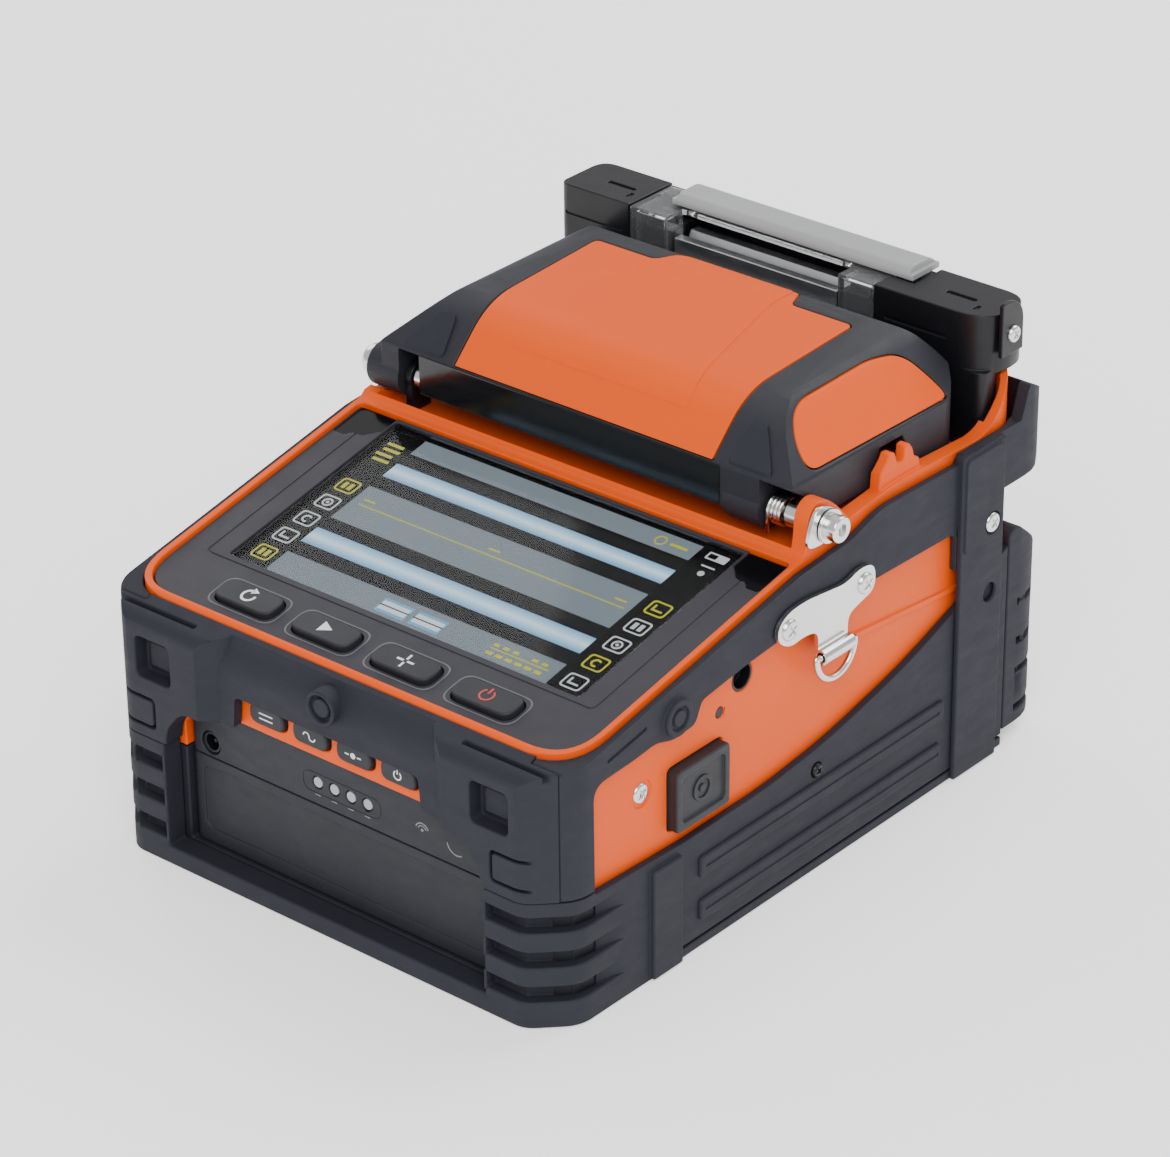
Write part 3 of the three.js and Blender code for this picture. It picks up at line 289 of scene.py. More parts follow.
def merged(*meshes):
    """Separate closed bodies gathered in one mesh."""
    made = bmesh.new()
    for mesh in meshes:
        made.from_mesh(mesh)
    result = bpy.data.meshes.new("bodies")
    made.to_mesh(result)
    made.free()
    return result


TO_FRAME = Matrix.Translation((0, FRONT_Y, 0)) @ Matrix.Scale(0.001, 4)
FLAT = math.radians(1.5)                       # faces nearer than this are one face
SHARP = math.radians(33)                       # edges sharper than this are rounded


def place(name, finish, mesh, edge=0.35, old=None, body="chassis"):
    """A finished piece in metres that rides on body, its sharp edges rounded by edge millimetres.

    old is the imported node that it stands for.
    """
    made = bmesh.new()
    made.from_mesh(mesh)
    bmesh.ops.remove_doubles(made, verts=made.verts, dist=0.01)
    bmesh.ops.dissolve_limit(made, angle_limit=FLAT, verts=made.verts, edges=made.edges)
    if edge:
        made = rounded(made, edge)
    made.transform(TO_FRAME)
    for face in made.faces:
        face.smooth = True
    data = bpy.data.meshes.new(name)
    made.to_mesh(data)
    made.free()
    piece = bpy.data.objects.new(name, data)
    SCENE.collection.objects.link(piece)
    data.materials.append(finish)
    shade(piece)
    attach(piece, body)
    if old:
        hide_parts(old)


STRAY = 0.45                                   # share of the rounding by which it may leave the sharp body


def rounded(sharp, width):
    """The body with its weighed edges rounded; rounding that strayed is put back on the sharp body."""
    weigh_edges(sharp, width)
    data = bpy.data.meshes.new("sharp")
    sharp.to_mesh(data)
    holder = bpy.data.objects.new("sharp", data)
    SCENE.collection.objects.link(holder)
    bevel(holder, width, 3, "WEIGHT")
    made = bmesh.new()
    made.from_mesh(bpy.data.meshes.new_from_object(holder.evaluated_get(
        bpy.context.evaluated_depsgraph_get())))
    bpy.data.objects.remove(holder)
    skin = BVHTree.FromBMesh(sharp)
    for vert in made.verts:
        spot, _, _, distance = skin.find_nearest(vert.co)
        if distance > STRAY * width:
            vert.co = spot
    sharp.free()
    untangle(made)
    return made


def bevel(piece, width, segments, limit):
    step = piece.modifiers.new("edges", "BEVEL")
    step.width = width
    step.segments = segments
    step.limit_method = limit
    step.angle_limit = SHARP
    step.use_clamp_overlap = False


def inside(spot, path):
    """Whether the path winds round the spot."""
    crossings = 0
    for a, b in zip(path, path[1:] + path[:1]):
        if (a.y > spot.y) != (b.y > spot.y) and spot.x < a.x + (spot.y - a.y) / (b.y - a.y) * (b.x - a.x):
            crossings += 1
    return crossings % 2 == 1


def untangle(made):
    """Fills faces again whose outline crosses itself after rounding."""
    made.normal_update()
    filled = {}
    for corners in made.calc_loop_triangles():
        a, b, c = (corner.vert.co for corner in corners)
        face = corners[0].face
        filled[face] = filled.get(face, 0) + (b - a).cross(c - a).length / 2
    for face in [face for face, area in filled.items() if area > face.calc_area() * 1.01 + 0.02]:
        turn = face.normal.rotation_difference(Vector((0, 0, 1)))
        verts = list(face.verts)
        flat = [turn @ vert.co for vert in verts]
        path = [point.to_2d() for point in flat]
        points, _, triangles, origins, _, _ = delaunay_2d_cdt(path, [], [list(range(len(path)))], 1, 1e-4)
        back = turn.inverted()
        corners = [verts[origin[0]] if origin else made.verts.new(back @ Vector((*point, flat[0].z)))
            for point, origin in zip(points, origins)]
        made.faces.remove(face)
        for triangle in triangles:
            middle = sum((points[i] for i in triangle), Vector((0, 0))) / 3
            filling = [corners[i] for i in triangle]
            if inside(middle, path) and made.faces.get(filling) is None:
                made.faces.new(filling)


STRAIGHT_ON = math.radians(35)                 # a sharp edge that turns less than this runs on
ROOM = 0.42                                    # share of a neighbouring edge that rounding may use


def weigh_edges(made, width):
    """Sets how far each sharp edge is rounded: all of a running edge alike, and less beside short edges."""
    weight = made.edges.layers.float.new("bevel_weight_edge")
    sharp = {edge for edge in made.edges if edge.is_manifold and edge.calc_face_angle() > SHARP}
    leader = {edge: edge for edge in sharp}
    reach = {}

    def lead(edge):
        while leader[edge] is not edge:
            leader[edge] = leader[leader[edge]]
            edge = leader[edge]
        return edge

    for edge in sharp:
        room = width
        for vert in edge.verts:
            away = edge.other_vert(vert).co - vert.co
            for other in vert.link_edges:
                if other is edge:
                    continue
                bend = math.pi - away.angle(other.other_vert(vert).co - vert.co)
                if other in sharp and bend < STRAIGHT_ON:
                    leader[lead(edge)] = lead(other)
                    room = min(room, max(other.calc_length(), edge.calc_length()) / max(bend, 0.01))
                else:
                    room = min(room, ROOM * other.calc_length())
        reach[edge] = room
    least = {}
    for edge, room in reach.items():
        least[lead(edge)] = min(room, least.get(lead(edge), width))
    for edge in sharp:
        edge[weight] = least[lead(edge)] / width


def shade(piece):
    """Shades the broad faces of a piece flat and its rounded edges smooth."""
    piece.modifiers.new("shading", "WEIGHTED_NORMAL").keep_sharp = True


# ---------------------------------------------------------------- materials
def put(made, **inputs):
    """Sets inputs of a shader node, with _ for a space; the output of another node is linked."""
    for key, value in inputs.items():
        socket = made.inputs[key.replace("_", " ")]
        if isinstance(value, bpy.types.NodeSocket):
            made.id_data.links.new(value, socket)
        else:
            socket.default_value = value
    return made


def node(tree, kind, **inputs):
    return put(tree.nodes.new("ShaderNode" + kind), **inputs)


def shader(name):
    made = bpy.data.materials.new(name)
    made.use_nodes = True
    return made, made.node_tree, made.node_tree.nodes["Principled BSDF"]


def mix(tree, factor, first, second):
    made = tree.nodes.new("ShaderNodeMix")
    made.data_type = "RGBA"
    return put(made, Factor=factor, A=(*first, 1), B=(*second, 1)).outputs["Result"]


def cloudy(tree, size, colour, share):
    """The colour with blotches of a given size in which only a share of it is left."""
    return mix(tree, noise(tree, size), colour, tuple(c * share for c in colour))


def spread(tree, source, low, high, out_low, out_high):
    made = node(tree, "MapRange", Value=source, From_Min=low, From_Max=high, To_Min=out_low, To_Max=out_high)
    return made.outputs["Result"]


def noise(tree, size, detail=3.0, stretch=(1, 1, 1)):
    """Noise in object space; size is the width of one blotch in millimetres."""
    spot = node(tree, "TexCoord").outputs["Object"]
    scaled = node(tree, "Mapping", Vector=spot, Scale=stretch).outputs["Vector"]
    made = node(tree, "TexNoise", Vector=scaled, Scale=1000 / size, Detail=detail, Roughness=0.6)
    return made.outputs["Fac"]


def bump(tree, height, strength, distance):
    return node(tree, "Bump", Height=height, Strength=strength, Distance=distance).outputs["Normal"]


def moulded(name, light, dark, rough, grain, depth, metal=0.0, gloss=0.5, stretch=(1, 1, 1), scuffs=0.06):
    """A moulded or machined surface: cloudy colour, uneven gloss, fine grain and faint scuffs."""
    made, tree, base = shader(name)
    put(base, Base_Color=mix(tree, noise(tree, 28, 4), light, dark), Metallic=metal, Specular_IOR_Level=gloss,
        Roughness=spread(tree, noise(tree, 9, 5, (1, 1, 3)), 0.3, 0.7, rough - scuffs, rough + scuffs),
        Normal=bump(tree, noise(tree, grain, 2, stretch), depth, 0.00006))
    return made


def printed(name, colour, glow=0.0):
    """Ink or a lit mark, slightly uneven."""
    made, tree, base = shader(name)
    uneven = cloudy(tree, 1.2, colour, 0.82)
    put(base, Base_Color=uneven, Roughness=0.5)
    if glow:
        put(base, Emission_Color=uneven, Emission_Strength=glow)
    return made


def clear(name, tint, rough, grain, bend, clearness):
    """Clear plastic or glass with faint flow marks."""
    made, tree, base = shader(name)
    put(base, Base_Color=cloudy(tree, 12, tint, 0.94), Transmission_Weight=clearness, IOR=bend,
        Roughness=spread(tree, noise(tree, 6), 0.3, 0.7, rough, rough + 0.05),
        Normal=bump(tree, noise(tree, 14, 1), grain, 0.0001))
    return made


ORANGE = moulded("orange_satin", (0.78, 0.088, 0.001), (0.73, 0.078, 0.001), 0.42, 0.35, 0.25, gloss=0.16)
RUBBER = moulded("rubber_grain", (0.021, 0.022, 0.031), (0.016, 0.017, 0.024), 0.66, 0.28, 0.8, gloss=0.22)
BLACK = moulded("black_satin", (0.007, 0.007, 0.009), (0.005, 0.005, 0.007), 0.36, 0.4, 0.35, gloss=0.3)
GLOSS = moulded("black_gloss", (0.004, 0.004, 0.005), (0.003, 0.003, 0.004), 0.14, 0.8, 0.1, scuffs=0.04)
CHARCOAL = moulded("charcoal_grain", (0.020, 0.021, 0.028), (0.015, 0.016, 0.021), 0.52, 0.3, 0.7, gloss=0.28)
BEZEL = moulded("bezel_grain", (0.036, 0.036, 0.044), (0.030, 0.030, 0.037), 0.5, 0.3, 0.6, gloss=0.2)
KEY = moulded("key_rubber", (0.022, 0.023, 0.028), (0.016, 0.017, 0.021), 0.5, 0.25, 0.4, gloss=0.3)
STEEL = moulded("plated_steel", (0.80, 0.79, 0.77), (0.66, 0.66, 0.66), 0.2, 1.4, 0.12, metal=1)
BRUSHED = moulded("brushed_aluminium", (0.66, 0.67, 0.69), (0.56, 0.57, 0.59), 0.36, 0.3, 0.5, metal=1,
    stretch=(0.05, 1, 1))
BRASS = moulded("brass", (0.72, 0.52, 0.24), (0.60, 0.42, 0.18), 0.3, 0.6, 0.2, metal=1)
CERAMIC = moulded("ceramic", (0.78, 0.76, 0.70), (0.70, 0.68, 0.62), 0.4, 0.4, 0.3)
BOARD = moulded("circuit_board", (0.016, 0.11, 0.045), (0.010, 0.075, 0.030), 0.42, 0.8, 0.5)
WRAP = moulded("cell_wrap", (0.03, 0.13, 0.34), (0.02, 0.10, 0.27), 0.35, 1.0, 0.2)
COVER_GREY = moulded("cover_grey", (0.34, 0.345, 0.35), (0.29, 0.295, 0.30), 0.38, 0.5, 0.4)
SCREEN_BLACK = moulded("screen_black", (0.004, 0.004, 0.005), (0.003, 0.003, 0.004), 0.12, 2.0, 0.05,
    gloss=0.06, scuffs=0.03)
GLASS = clear("screen_glass", (0.97, 0.98, 0.99), 0.02, 0.02, 1.12, 1)
CLEAR = clear("clear_cover", (0.92, 0.94, 0.96), 0.03, 0.25, 1.38, 0.96)
WHITE_INK = printed("white_ink", (0.78, 0.79, 0.80))
RED_INK = printed("red_ink", (0.55, 0.03, 0.025))
GREY_INK = printed("grey_ink", (0.22, 0.22, 0.24))
FAINT_INK = printed("faint_ink", (0.10, 0.10, 0.115))
LAMP = printed("lamp", (0.35, 0.37, 0.38), 0.1)
YELLOW_DOT = printed("yellow_dot", (0.85, 0.66, 0.03))


# ---------------------------------------------------------------- shared volumes
BUMPER_PLAN = outline(symmetric([(RUBBER_HALF - CORNER_CUT, 0, 3), (RUBBER_HALF, CORNER_CUT, 4),
    (RUBBER_HALF, DEPTH, REAR_RADIUS)]))


def case_plan(grow):
    return rectangle(-CASE_HALF - grow, CASE_HALF + grow, CASE_FRONT - grow, CASE_REAR + grow,
        CASE_RADIUS + grow, 10)


def trim_plan(grow):
    front, rear = TRIM_RADIUS + grow, CASE_RADIUS + grow
    return outline(symmetric([(CASE_HALF + grow, TRIM_FRONT - grow, front),
        (CASE_HALF + grow, CASE_REAR + grow, rear)]), 10)


BUMPER_SPACE = cut(raised(BUMPER_PLAN, 0, 110), raised(case_plan(GAP), -1, LEDGE + GAP),
    raised(trim_plan(GAP), 60, 111))


HINGE_AXIS = Matrix.Translation((0, HINGE_Y, HINGE_Z))


def hinge_disc(radius, left, right, sides=40):
    return across(disc(HINGE_Y, HINGE_Z, radius, sides), left, right)


def panel_plan(grow):
    front, rear = (PANEL_HALF + grow, PANEL_START - grow, 12), (PANEL_HALF + grow, PANEL_END + grow, 2)
    return outline(symmetric([front, rear]), 10)


def button_shape(grow):
    return rectangle(44.5 - grow, 64.5 + grow, 35.6 - grow, 52.4 + grow, 1.6)


def strip_key_shape(step, grow):
    middle, wide, high = step * STRIP_PITCH, STRIP_WIDTH / 2 + grow, STRIP_HEIGHT / 2 + grow
    return centred(middle, STRIP_Z, wide, high, 2.6)


def key_shape(step, grow):
    middle, wide, deep = step * KEY_PITCH, KEY_WIDTH / 2 + grow, KEY_DEPTH / 2 + grow
    return centred(middle, KEY_PLACE, wide, deep, 3.6)


# ---------------------------------------------------------------- case
def upper_case():
    side = [(CASE_FRONT, CASE_SPLIT + GAP), (CASE_FRONT, LEDGE), (TRIM_FRONT, LEDGE),
        (TRIM_FRONT, crest(TRIM_FRONT) - 0.6, 0.5), (PANEL_Y, crest(PANEL_Y), 0.5), (94.6, crest(94.6)),
        (96.2, 88.6), (111, 91, 3), (134.6, 93.4, 8), (157, 92.4, 4), (169.2, 91.5, 6), (176, 97.4, 6),
        (181, 104.6, 1.5), (CASE_REAR, 104.6, 1), (CASE_REAR, CASE_SPLIT + GAP)]
    body = across(side, -CASE_HALF, CASE_HALF)
    shell = join(common(body, raised(case_plan(0), 0, LEDGE)),
        common(body, raised(trim_plan(0), LEDGE - 0.1, 130)))
    ear = across([(95, 84), (96.6, 91.7, 3), (97, 99, 4), (102, 101.4, 4), (107.6, 97.6, 4), (113, 91.6),
        (113, 84)], TRAY_HALF, CASE_HALF)
    comb = across([(126.4, 88), (127.4, 97), (130, 99.4), (131, 101, 0.5), (133, 100.8, 0.5), (134.2, 97.5),
        (136.8, 97.3), (137.2, 100.8, 0.5), (139, 101, 0.5), (140.4, 99.2), (141, 97), (143.2, 95.6),
        (144.6, 88)], TRAY_HALF, TRAY_HALF + 3)
    hollow_side = [(8.9, 20), (8.9, 62.6), (96, 80), (100, 82), (TRAY_REAR, 82), (TRAY_REAR, 20)]
    hollow = common(across(hollow_side, -CASE_HALF, CASE_HALF), raised(case_plan(-2.4), 10, 100))
    pocket = on_panel(panel_plan(GAP), -3.7, 12)
    opening = on_panel(rectangle(-66, 66, 3.6, 81, 8), -14, 0)
    bay_opening = inward(symmetric([(50.4, 20), (50.4, 38.2), (45.3, 44.6)]), 0, 20)
    tray = [block(-TRAY_HALF, TRAY_HALF, TRAY_FRONT, TRAY_REAR, TRAY_FLOOR, 130),
        raised(symmetric([(68.4, 171.8), (68.4, TRAY_REAR, 8)]), TRAY_FLOOR, 130)]
    ridge = across([(93.8, 84), (93.9, 86.6), (95.6, 88.2, 0.6), (TRAY_FRONT, 87, 0.4), (TRAY_FRONT, 84)],
        -65.5, 65.5)
    parting_rib = across([(104, 58.2), (160, 52.6), (160, 54.2), (104, 59.8)], 70.6, 71.8)
    screw_seat = across(disc(*CASE_SCREW, 3.6), 70.7, 80)
    bay_roof = block(-52.4, 52.4, 8.5, 129, 44.6, 46.6)
    bay_wall = block(50.4, 52.4, 8.5, 129, CASE_SPLIT + GAP, 45.6)
    open_shell = cut(shell, hollow, pocket, opening, bay_opening, *tray, on_stage(-45, 45, 23.4, 80, 90))
    sides = pairs(comb, parting_rib, bay_wall)
    whole = join(open_shell, ear, *sides, ridge, bay_roof)
    holes = [across(button_shape(GAP), 66, 76), across(disc(*PORT, 3.9), 66, 76),
        across(disc(*PLUG, 1.5, 20), 66, 76), block(48, 55, 49, 60, 36, 43), screw_seat]
    hinge_holes = [hinge_disc(2.5, TRAY_HALF - 1, 68.5), hinge_disc(1.9, 69.4, 75),
        hinge_disc(6.6, -CASE_HALF - 5, -LEFT_BARREL_IN + 1)]
    strip_holes = [inward(strip_key_shape(step, GAP), 0, 20) for step in STEPS]
    shape = cut(whole, *pairs(*holes), *hinge_holes, *strip_holes)
    place("case_shell", ORANGE, shape, 0.45, "upper_case")


def case_details():
    """Port sleeves and screws on the sides, the same on the left as on the right."""
    sleeve = cut(across(disc(*PORT, 3.9), 66.5, 71.0), across(disc(*PORT, 3.2), 68, 72))
    plug = across(disc(*PLUG, 1.4, 20), 69.6, 71.0)
    place("port_sleeves", BLACK, both(merged(sleeve, plug)), 0.2)
    heads = merged(screw_head(*CASE_SCREW, 70.2), screw_head(*STRAP_SCREW, 74.8))
    place("case_screws", STEEL, both(heads), 0.2)
    place("skirt_screws", BLACK, both(screw_head(*SKIRT_SCREW, 73.1, 1.8)), 0.15)
    dot = common(across(disc(178.6, 68.4, 2.2), 60, 75), raised(case_plan(0.15), 60, 76))
    dot = cut(dot, raised(case_plan(-0.3), 50, 80))
    place("inspection_dot", YELLOW_DOT, dot, 0)


def screw_head(y, z, x, radius=2.7):
    """A round screw head facing +X with a cross recess."""
    profile = [(0, 0), (radius, 0), (radius, 0.5), (radius * 0.86, 1.0), (radius * 0.5, 1.25), (0, 1.3)]
    head = turned(profile, 32)
    arms = [block(0.6, 2, -a, a, -b, b) for a, b in ((radius * 0.55, 0.3), (0.3, radius * 0.55))]
    turn = Matrix.Translation((x, y, z)) @ Matrix.Rotation(0.6, 4, "X")
    return moved(cut(head, *arms), turn)


# ---------------------------------------------------------------- rubber bumpers
def bumper_front():
    side = [(0, SKIRT_TOP + 0.05), (0, 65.2, 1.4), (1.8, 67.3, 1.4), (TRIM_FRONT - GAP, 69.2), (20, 71.4),
        (20, SKIRT_TOP + 0.05)]
    swept = across(side, -WIDE, WIDE)
    front = common(BUMPER_SPACE, swept, block(-WIDE, WIDE, -1, FRONT_SEAM + 0.22, 0, 80))
    lip = common(BUMPER_SPACE, swept, block(-LIP_HALF, LIP_HALF, 0, 12, LEDGE + GAP, 80))
    step_back = common(across([(-1, 0), (3.2, 0), (3.2, 61.5, 4), (6.8, 68.3, 3), (6.8, 80), (-1, 80)], -45,
        45), raised(symmetric([(41, -1), (33.4, 4.4, 5), (32.4, 8)]), 0, 90))
    mouth = inward([(-52, 8, 3), (52, 8, 3), (51, 38, 3), (45.5, 45, 3), (30.4, 45, 1), (29.6, 54, 1.5),
        (-29.6, 54, 1.5), (-30.4, 45, 1), (-45.4, 44.9, 3), (-50.9, 38.2, 3)], -1, 7)
    floor_pad = inward(rectangle(50.6, 57.8, 53, 59.8, 1), 3, 6)
    notch = cut(inward(rectangle(48.4, 60, 50.8, 62, 1.8), -1, 4.4), floor_pad)
    pad = inward(rectangle(55, 80, 37.8, 44.8, 1.2), -2, 3)
    pad_groove = cut(inward(rectangle(54.2, 80, 37, 45.6, 1.6), -1, 1.9), pad)
    slit = raised(rectangle(43, 71, 3.9, 5.1, 0.5), 66.6, 72)
    boss = join(cut(inward(disc(*FRONT_BOSS, 4.6), 1.1, 6), inward(disc(*FRONT_BOSS, 3.5), 0, 2.6)),
        inward(disc(*FRONT_BOSS, 2.5), 1.5, 6))
    hollows = pairs(notch, pad_groove, slit)
    shape = join(cut(join(front, lip), step_back, mouth, *hollows), boss)
    place("front_bumper", RUBBER, shape, 0.5, "bumper_front")


def bumper_rail():
    side = [(FRONT_SEAM + GAP, SKIRT_TOP + GAP), (FRONT_SEAM + GAP, 68.4, 1), (17.7, 70.4, 3),
        (91.9, 85.4, 1.5), (95, 85.6), (111.4, 86.8, 2), (123.3, 90.6, 5), (154.9, 89.8), (156.8, 92),
        (181.5, 92), (184.8, 101, 2), (DEPTH, 94.4, 2), (DEPTH, 84, 4), (191, 75.4, 3), (STRAP_REAR, 75.3),
        (STRAP_REAR, 60), (STRAP_FRONT, 60), (STRAP_FRONT, 70.9, 3), (126, 71.7), (105.9, 72.2, 4),
        (86.3, 71, 4), (71, 69.8), (54.5, 67.6, 1.5), (52.2, 62.3, 2), (44.1, 61.6, 2), (37.5, 63.6, 2),
        (30.2, 62.8), (15.1, 62, 4), (15.3, SKIRT_TOP + GAP)]
    reach = cut(block(-WIDE, WIDE, FRONT_SEAM + GAP, 200, 0, 110), block(-62, 62, 0, 20, 0, 110))
    band = common(BUMPER_SPACE, across(side, -WIDE, WIDE), reach)
    behind = cut(raised(rectangle(-70, 70, 170, 193, 10), 78.5, 120), raised(case_plan(GAP), 0, 130))
    strap = join(across(rectangle(STRAP_FRONT, STRAP_REAR, 0, 91.8, 0.8), 73.8, STRAP_OUT),
        across(rectangle(STRAP_FRONT, STRAP_REAR, 72, 91.8, 0.8), 72, STRAP_OUT),
        across(rectangle(156.2, 172, 64.6, 90.6, 1.5), 74.5, 75.5))
    strap = cut(strap, across(disc(168.1, 49.3, 2.6), 70, 80), across(disc(*STRAP_SCREW, 3.1), 74.7, 80))
    boss = cut(across(disc(*SIDE_BOSS, 4.8), 72, 74.8), across(disc(*SIDE_BOSS, 3.2), 74, 78))
    boss = join(boss, across(disc(*SIDE_BOSS, 2.1), 73.6, 74.7))
    crease = across([(20, 66.4), (34, 69.0), (34, 69.9), (20, 67.3)], 73.0, 80)
    shape = cut(band, behind, crease, mirrored(crease))
    shape = join(shape, *pairs(strap, boss))
    place("side_rail", RUBBER, shape, 0.5, "bumper_rail")


def bumper_lower():
    side = [(-1, 0), (46, 0), (47.5, 3), (LOWER_END, 3), (LOWER_END, 58), (173.6, 56.4), (158.1, 49.8, 4),
        (135.4, 41.8, 12), (102.9, 34.7, 12), (79.3, 32.4, 8), (48.6, 32, 4), (15.6, 33.4), (15.3, SKIRT_TOP),
        (-1, SKIRT_TOP)]
    reach = cut(block(-WIDE, WIDE, -1, LOWER_END, 0, 120),
        raised(symmetric([(65, FRONT_SEAM), (70.8, 12), (70.8, 180)]), 2.4, 130))
    skirts = common(BUMPER_SPACE, across(side, -WIDE, WIDE), reach)
    flange = cut(common(raised(BUMPER_PLAN, 0, 2.3), block(-WIDE, WIDE, -1, LOWER_END, 0, 5)),
        block(-58, 58, 16, 190, -1, 5), block(-52, 52, -1, 12, -1, 2.4))
    lip = inward([(-53, 2), (53, 2), (53, 5), (41, 5, 2), (36, 6.6, 3), (-28, 6.6, 3), (-33, 5, 2), (-53, 5)],
        2.2, FRONT_SEAM)
    mouth = inward(rectangle(-52, 52, 5, 60), -2, 7)
    groove_floor = [(0, 3.4), (62.6, 3.4), (70.1, 10.9), (RUBBER_HALF + 1, 30), (RUBBER_HALF + 1, 100),
        (0, 100)]
    grooves = [cut(raised(BUMPER_PLAN, z, z + 4.2), raised(groove_floor, z - 1, z + 6),
        block(-80, 52.5, -5, 250, 0, 40), block(0, 80, 30, 250, 0, 40)) for z in (7, 16.5, 26)]
    front_strap = across(rectangle(35, 46, 0, 30, 0.8), 73, 74.8)
    ribs = []
    for rear, z in ((151, 22.5), (150, 10.5)):
        crease = across(rectangle(55, 149, z - 0.4, z + 0.4, 0.3), 74.1, 80)
        ribs.append(cut(across(rectangle(53, rear, z - 2.9, z + 2.9, 1.2), 73, 74.4), crease))
    screw_hole = across(disc(*SKIRT_SCREW, 2.1), 72.6, 76)
    strap_room = block(RUBBER_HALF + 0.05, 80, STRAP_FRONT - 0.6, STRAP_REAR + 0.6, -1, 95)
    taken = pairs(*grooves, screw_hole, strap_room)
    shape = cut(join(skirts, flange, lip, front_strap, mirrored(front_strap)), mouth, *taken)
    shape = merged(shape, *[both(rib) for rib in ribs])
    place("lower_bumper", RUBBER, shape, 0.6, "bumper_lower")


def bumper_rear():
    side = [(LOWER_END + GAP, 4), (LOWER_END + GAP, 61, 1), (182, 62.4, 2), (193, 53.4, 3), (193.6, 40),
        (193.6, 4, 2)]
    guard = common(BUMPER_SPACE, across(side, -WIDE, WIDE))
    middle = raised(rectangle(-48, 48, 188, 210, 3), 0, 70)
    grooves = [cut(raised(BUMPER_PLAN, z - 0.9, z + 0.9),
        raised(rectangle(-72, 72, 150, 192.2, 11), z - 2, z + 2), block(-WIDE, WIDE, -1, 183, 0, 70))
        for z in (8.4, 19.3, 28.2, 39.8)]
    place("rear_bumper", RUBBER, cut(guard, middle, *grooves), 0.45, "bumper_rear")


# ---------------------------------------------------------------- control panel
def panel_bezel():
    plate = on_panel(panel_plan(0), -3.4, -PANEL_DROP)
    window = on_panel(rectangle(-GLASS_HALF - GAP, GLASS_HALF + GAP, GLASS_START - GAP, GLASS_END + GAP, 1),
        -10, 5)
    key_holes = [on_panel(key_shape(step, GAP), -10, 5) for step in STEPS]
    recess = on_panel([(56.9, 90), (56.9, 78.6), (60.4, 74.8, 1), (63.6, 74.8, 1), (64.6, 73, 1),
        (68.6, 73, 1), (68.6, 90)], -1.5, 5)
    border = cut(on_panel(rectangle(-62.4, 62.4, 18.6, 90, 2), -1.25, 5),
        on_panel(rectangle(-61.9, 61.9, 19.1, 91, 1.8), -2, 6))
    shape = cut(plate, window, border, recess, mirrored(recess), *key_holes)
    place("control_panel", BEZEL, shape, 0.25, "panel_bezel")
    # black pads in the panel's upper corner recesses: their black is partly the panel's own dark recess and
    # partly painted shadow of the lid hinge barrel
    place("panel_recess_pads_painted_shade", SCREEN_BLACK, both(on_panel([(57, 84.7), (57, 78.7), (60.5, 74.9, 1),
        (63.7, 74.9, 1), (64.7, 73.1, 1), (68.5, 73.1, 1), (68.5, 84.7)], -2.3, -1.3)), 0.15)
    outlines = [cut(on_panel(key_shape(step, 1.5), -1.05, -0.92), on_panel(key_shape(step, 1.15), -2, 0))
        for step in STEPS]
    place("key_outlines", FAINT_INK, merged(*outlines), 0)


def arc_band(u, v, outer, inner, start, end):
    """A slice of a flat ring, angles in degrees."""
    steps = 24
    angles = [math.radians(start + (end - start) * i / steps) for i in range(steps + 1)]
    rim = [(u + outer * math.cos(a), v + outer * math.sin(a)) for a in angles]
    return rim + [(u + inner * math.cos(a), v + inner * math.sin(a)) for a in reversed(angles)]


KEY_TOP = KEY_PROUD - PANEL_DROP


def key_icon(name, u, v):
    """Generic marks: turning arrow, triangle, crossed axes and the standby mark."""
    shapes = {
        "key_reset": [
            arc_band(u, v, 2.2, 1.55, 75, 370), [(u - 0.2, v + 3.0), (u + 1.8, v + 1.9), (u - 0.2, v + 0.8)]],
        "key_start": [[(u - 1.6, v - 1.9), (u + 2.0, v), (u - 1.6, v + 1.9)]],
        "key_axis": [centred(u - 1.6, v, 1, 0.3), centred(u + 1.6, v, 1, 0.3), centred(u, v - 1.5, 0.3, 0.9),
                     centred(u, v + 1.5, 0.3, 0.9)],
        "key_power": [arc_band(u, v, 2.1, 1.6, 125, 415), centred(u, v + 1.5, 0.28, 1)],
    }[name]
    return merged(*[on_panel(shape, KEY_TOP - 0.1, KEY_TOP + 0.06) for shape in shapes])


def panel_keys():
    for step, name in zip(STEPS, ("key_reset", "key_start", "key_axis", "key_power")):
        middle = step * KEY_PITCH
        cap = on_panel(key_shape(step, 0), -4.6, KEY_TOP)
        flange = on_panel(centred(middle, KEY_PLACE, 11.1, 4.8, 3), -5.1, -4.1)
        place(name + "_cap", KEY, join(cap, flange), 0.6, name, body=name)
        ink = RED_INK if name == "key_power" else WHITE_INK
        place(name + "_icon", ink, key_icon(name, middle, KEY_PLACE), 0, body=name)


def strip_icon(name, u, v):
    """Generic marks: two bars, a wave, a light on a line and the standby mark."""
    shapes = {
        "meter_unit_key": [rectangle(u - 2.2, u + 2.2, v + at, v + at + 0.35) for at in (-0.9, 0.5)],
        "meter_wave_key": [
            arc_band(u - 0.9, v, 1.1, 0.75, 0, 180), arc_band(u + 0.95, v, 1.1, 0.75, 180, 360)],
        "fault_light_key": [
            disc(u, v, 0.8, 20), centred(u + 1.95, v, 0.65, 0.2), centred(u - 1.95, v, 0.65, 0.2)],
        "meter_power_key": [arc_band(u, v, 1.3, 0.95, 125, 415), centred(u, v + 0.95, 0.2, 0.65)],
    }[name]
    return merged(*[inward(shape, 5.14, 5.3) for shape in shapes])


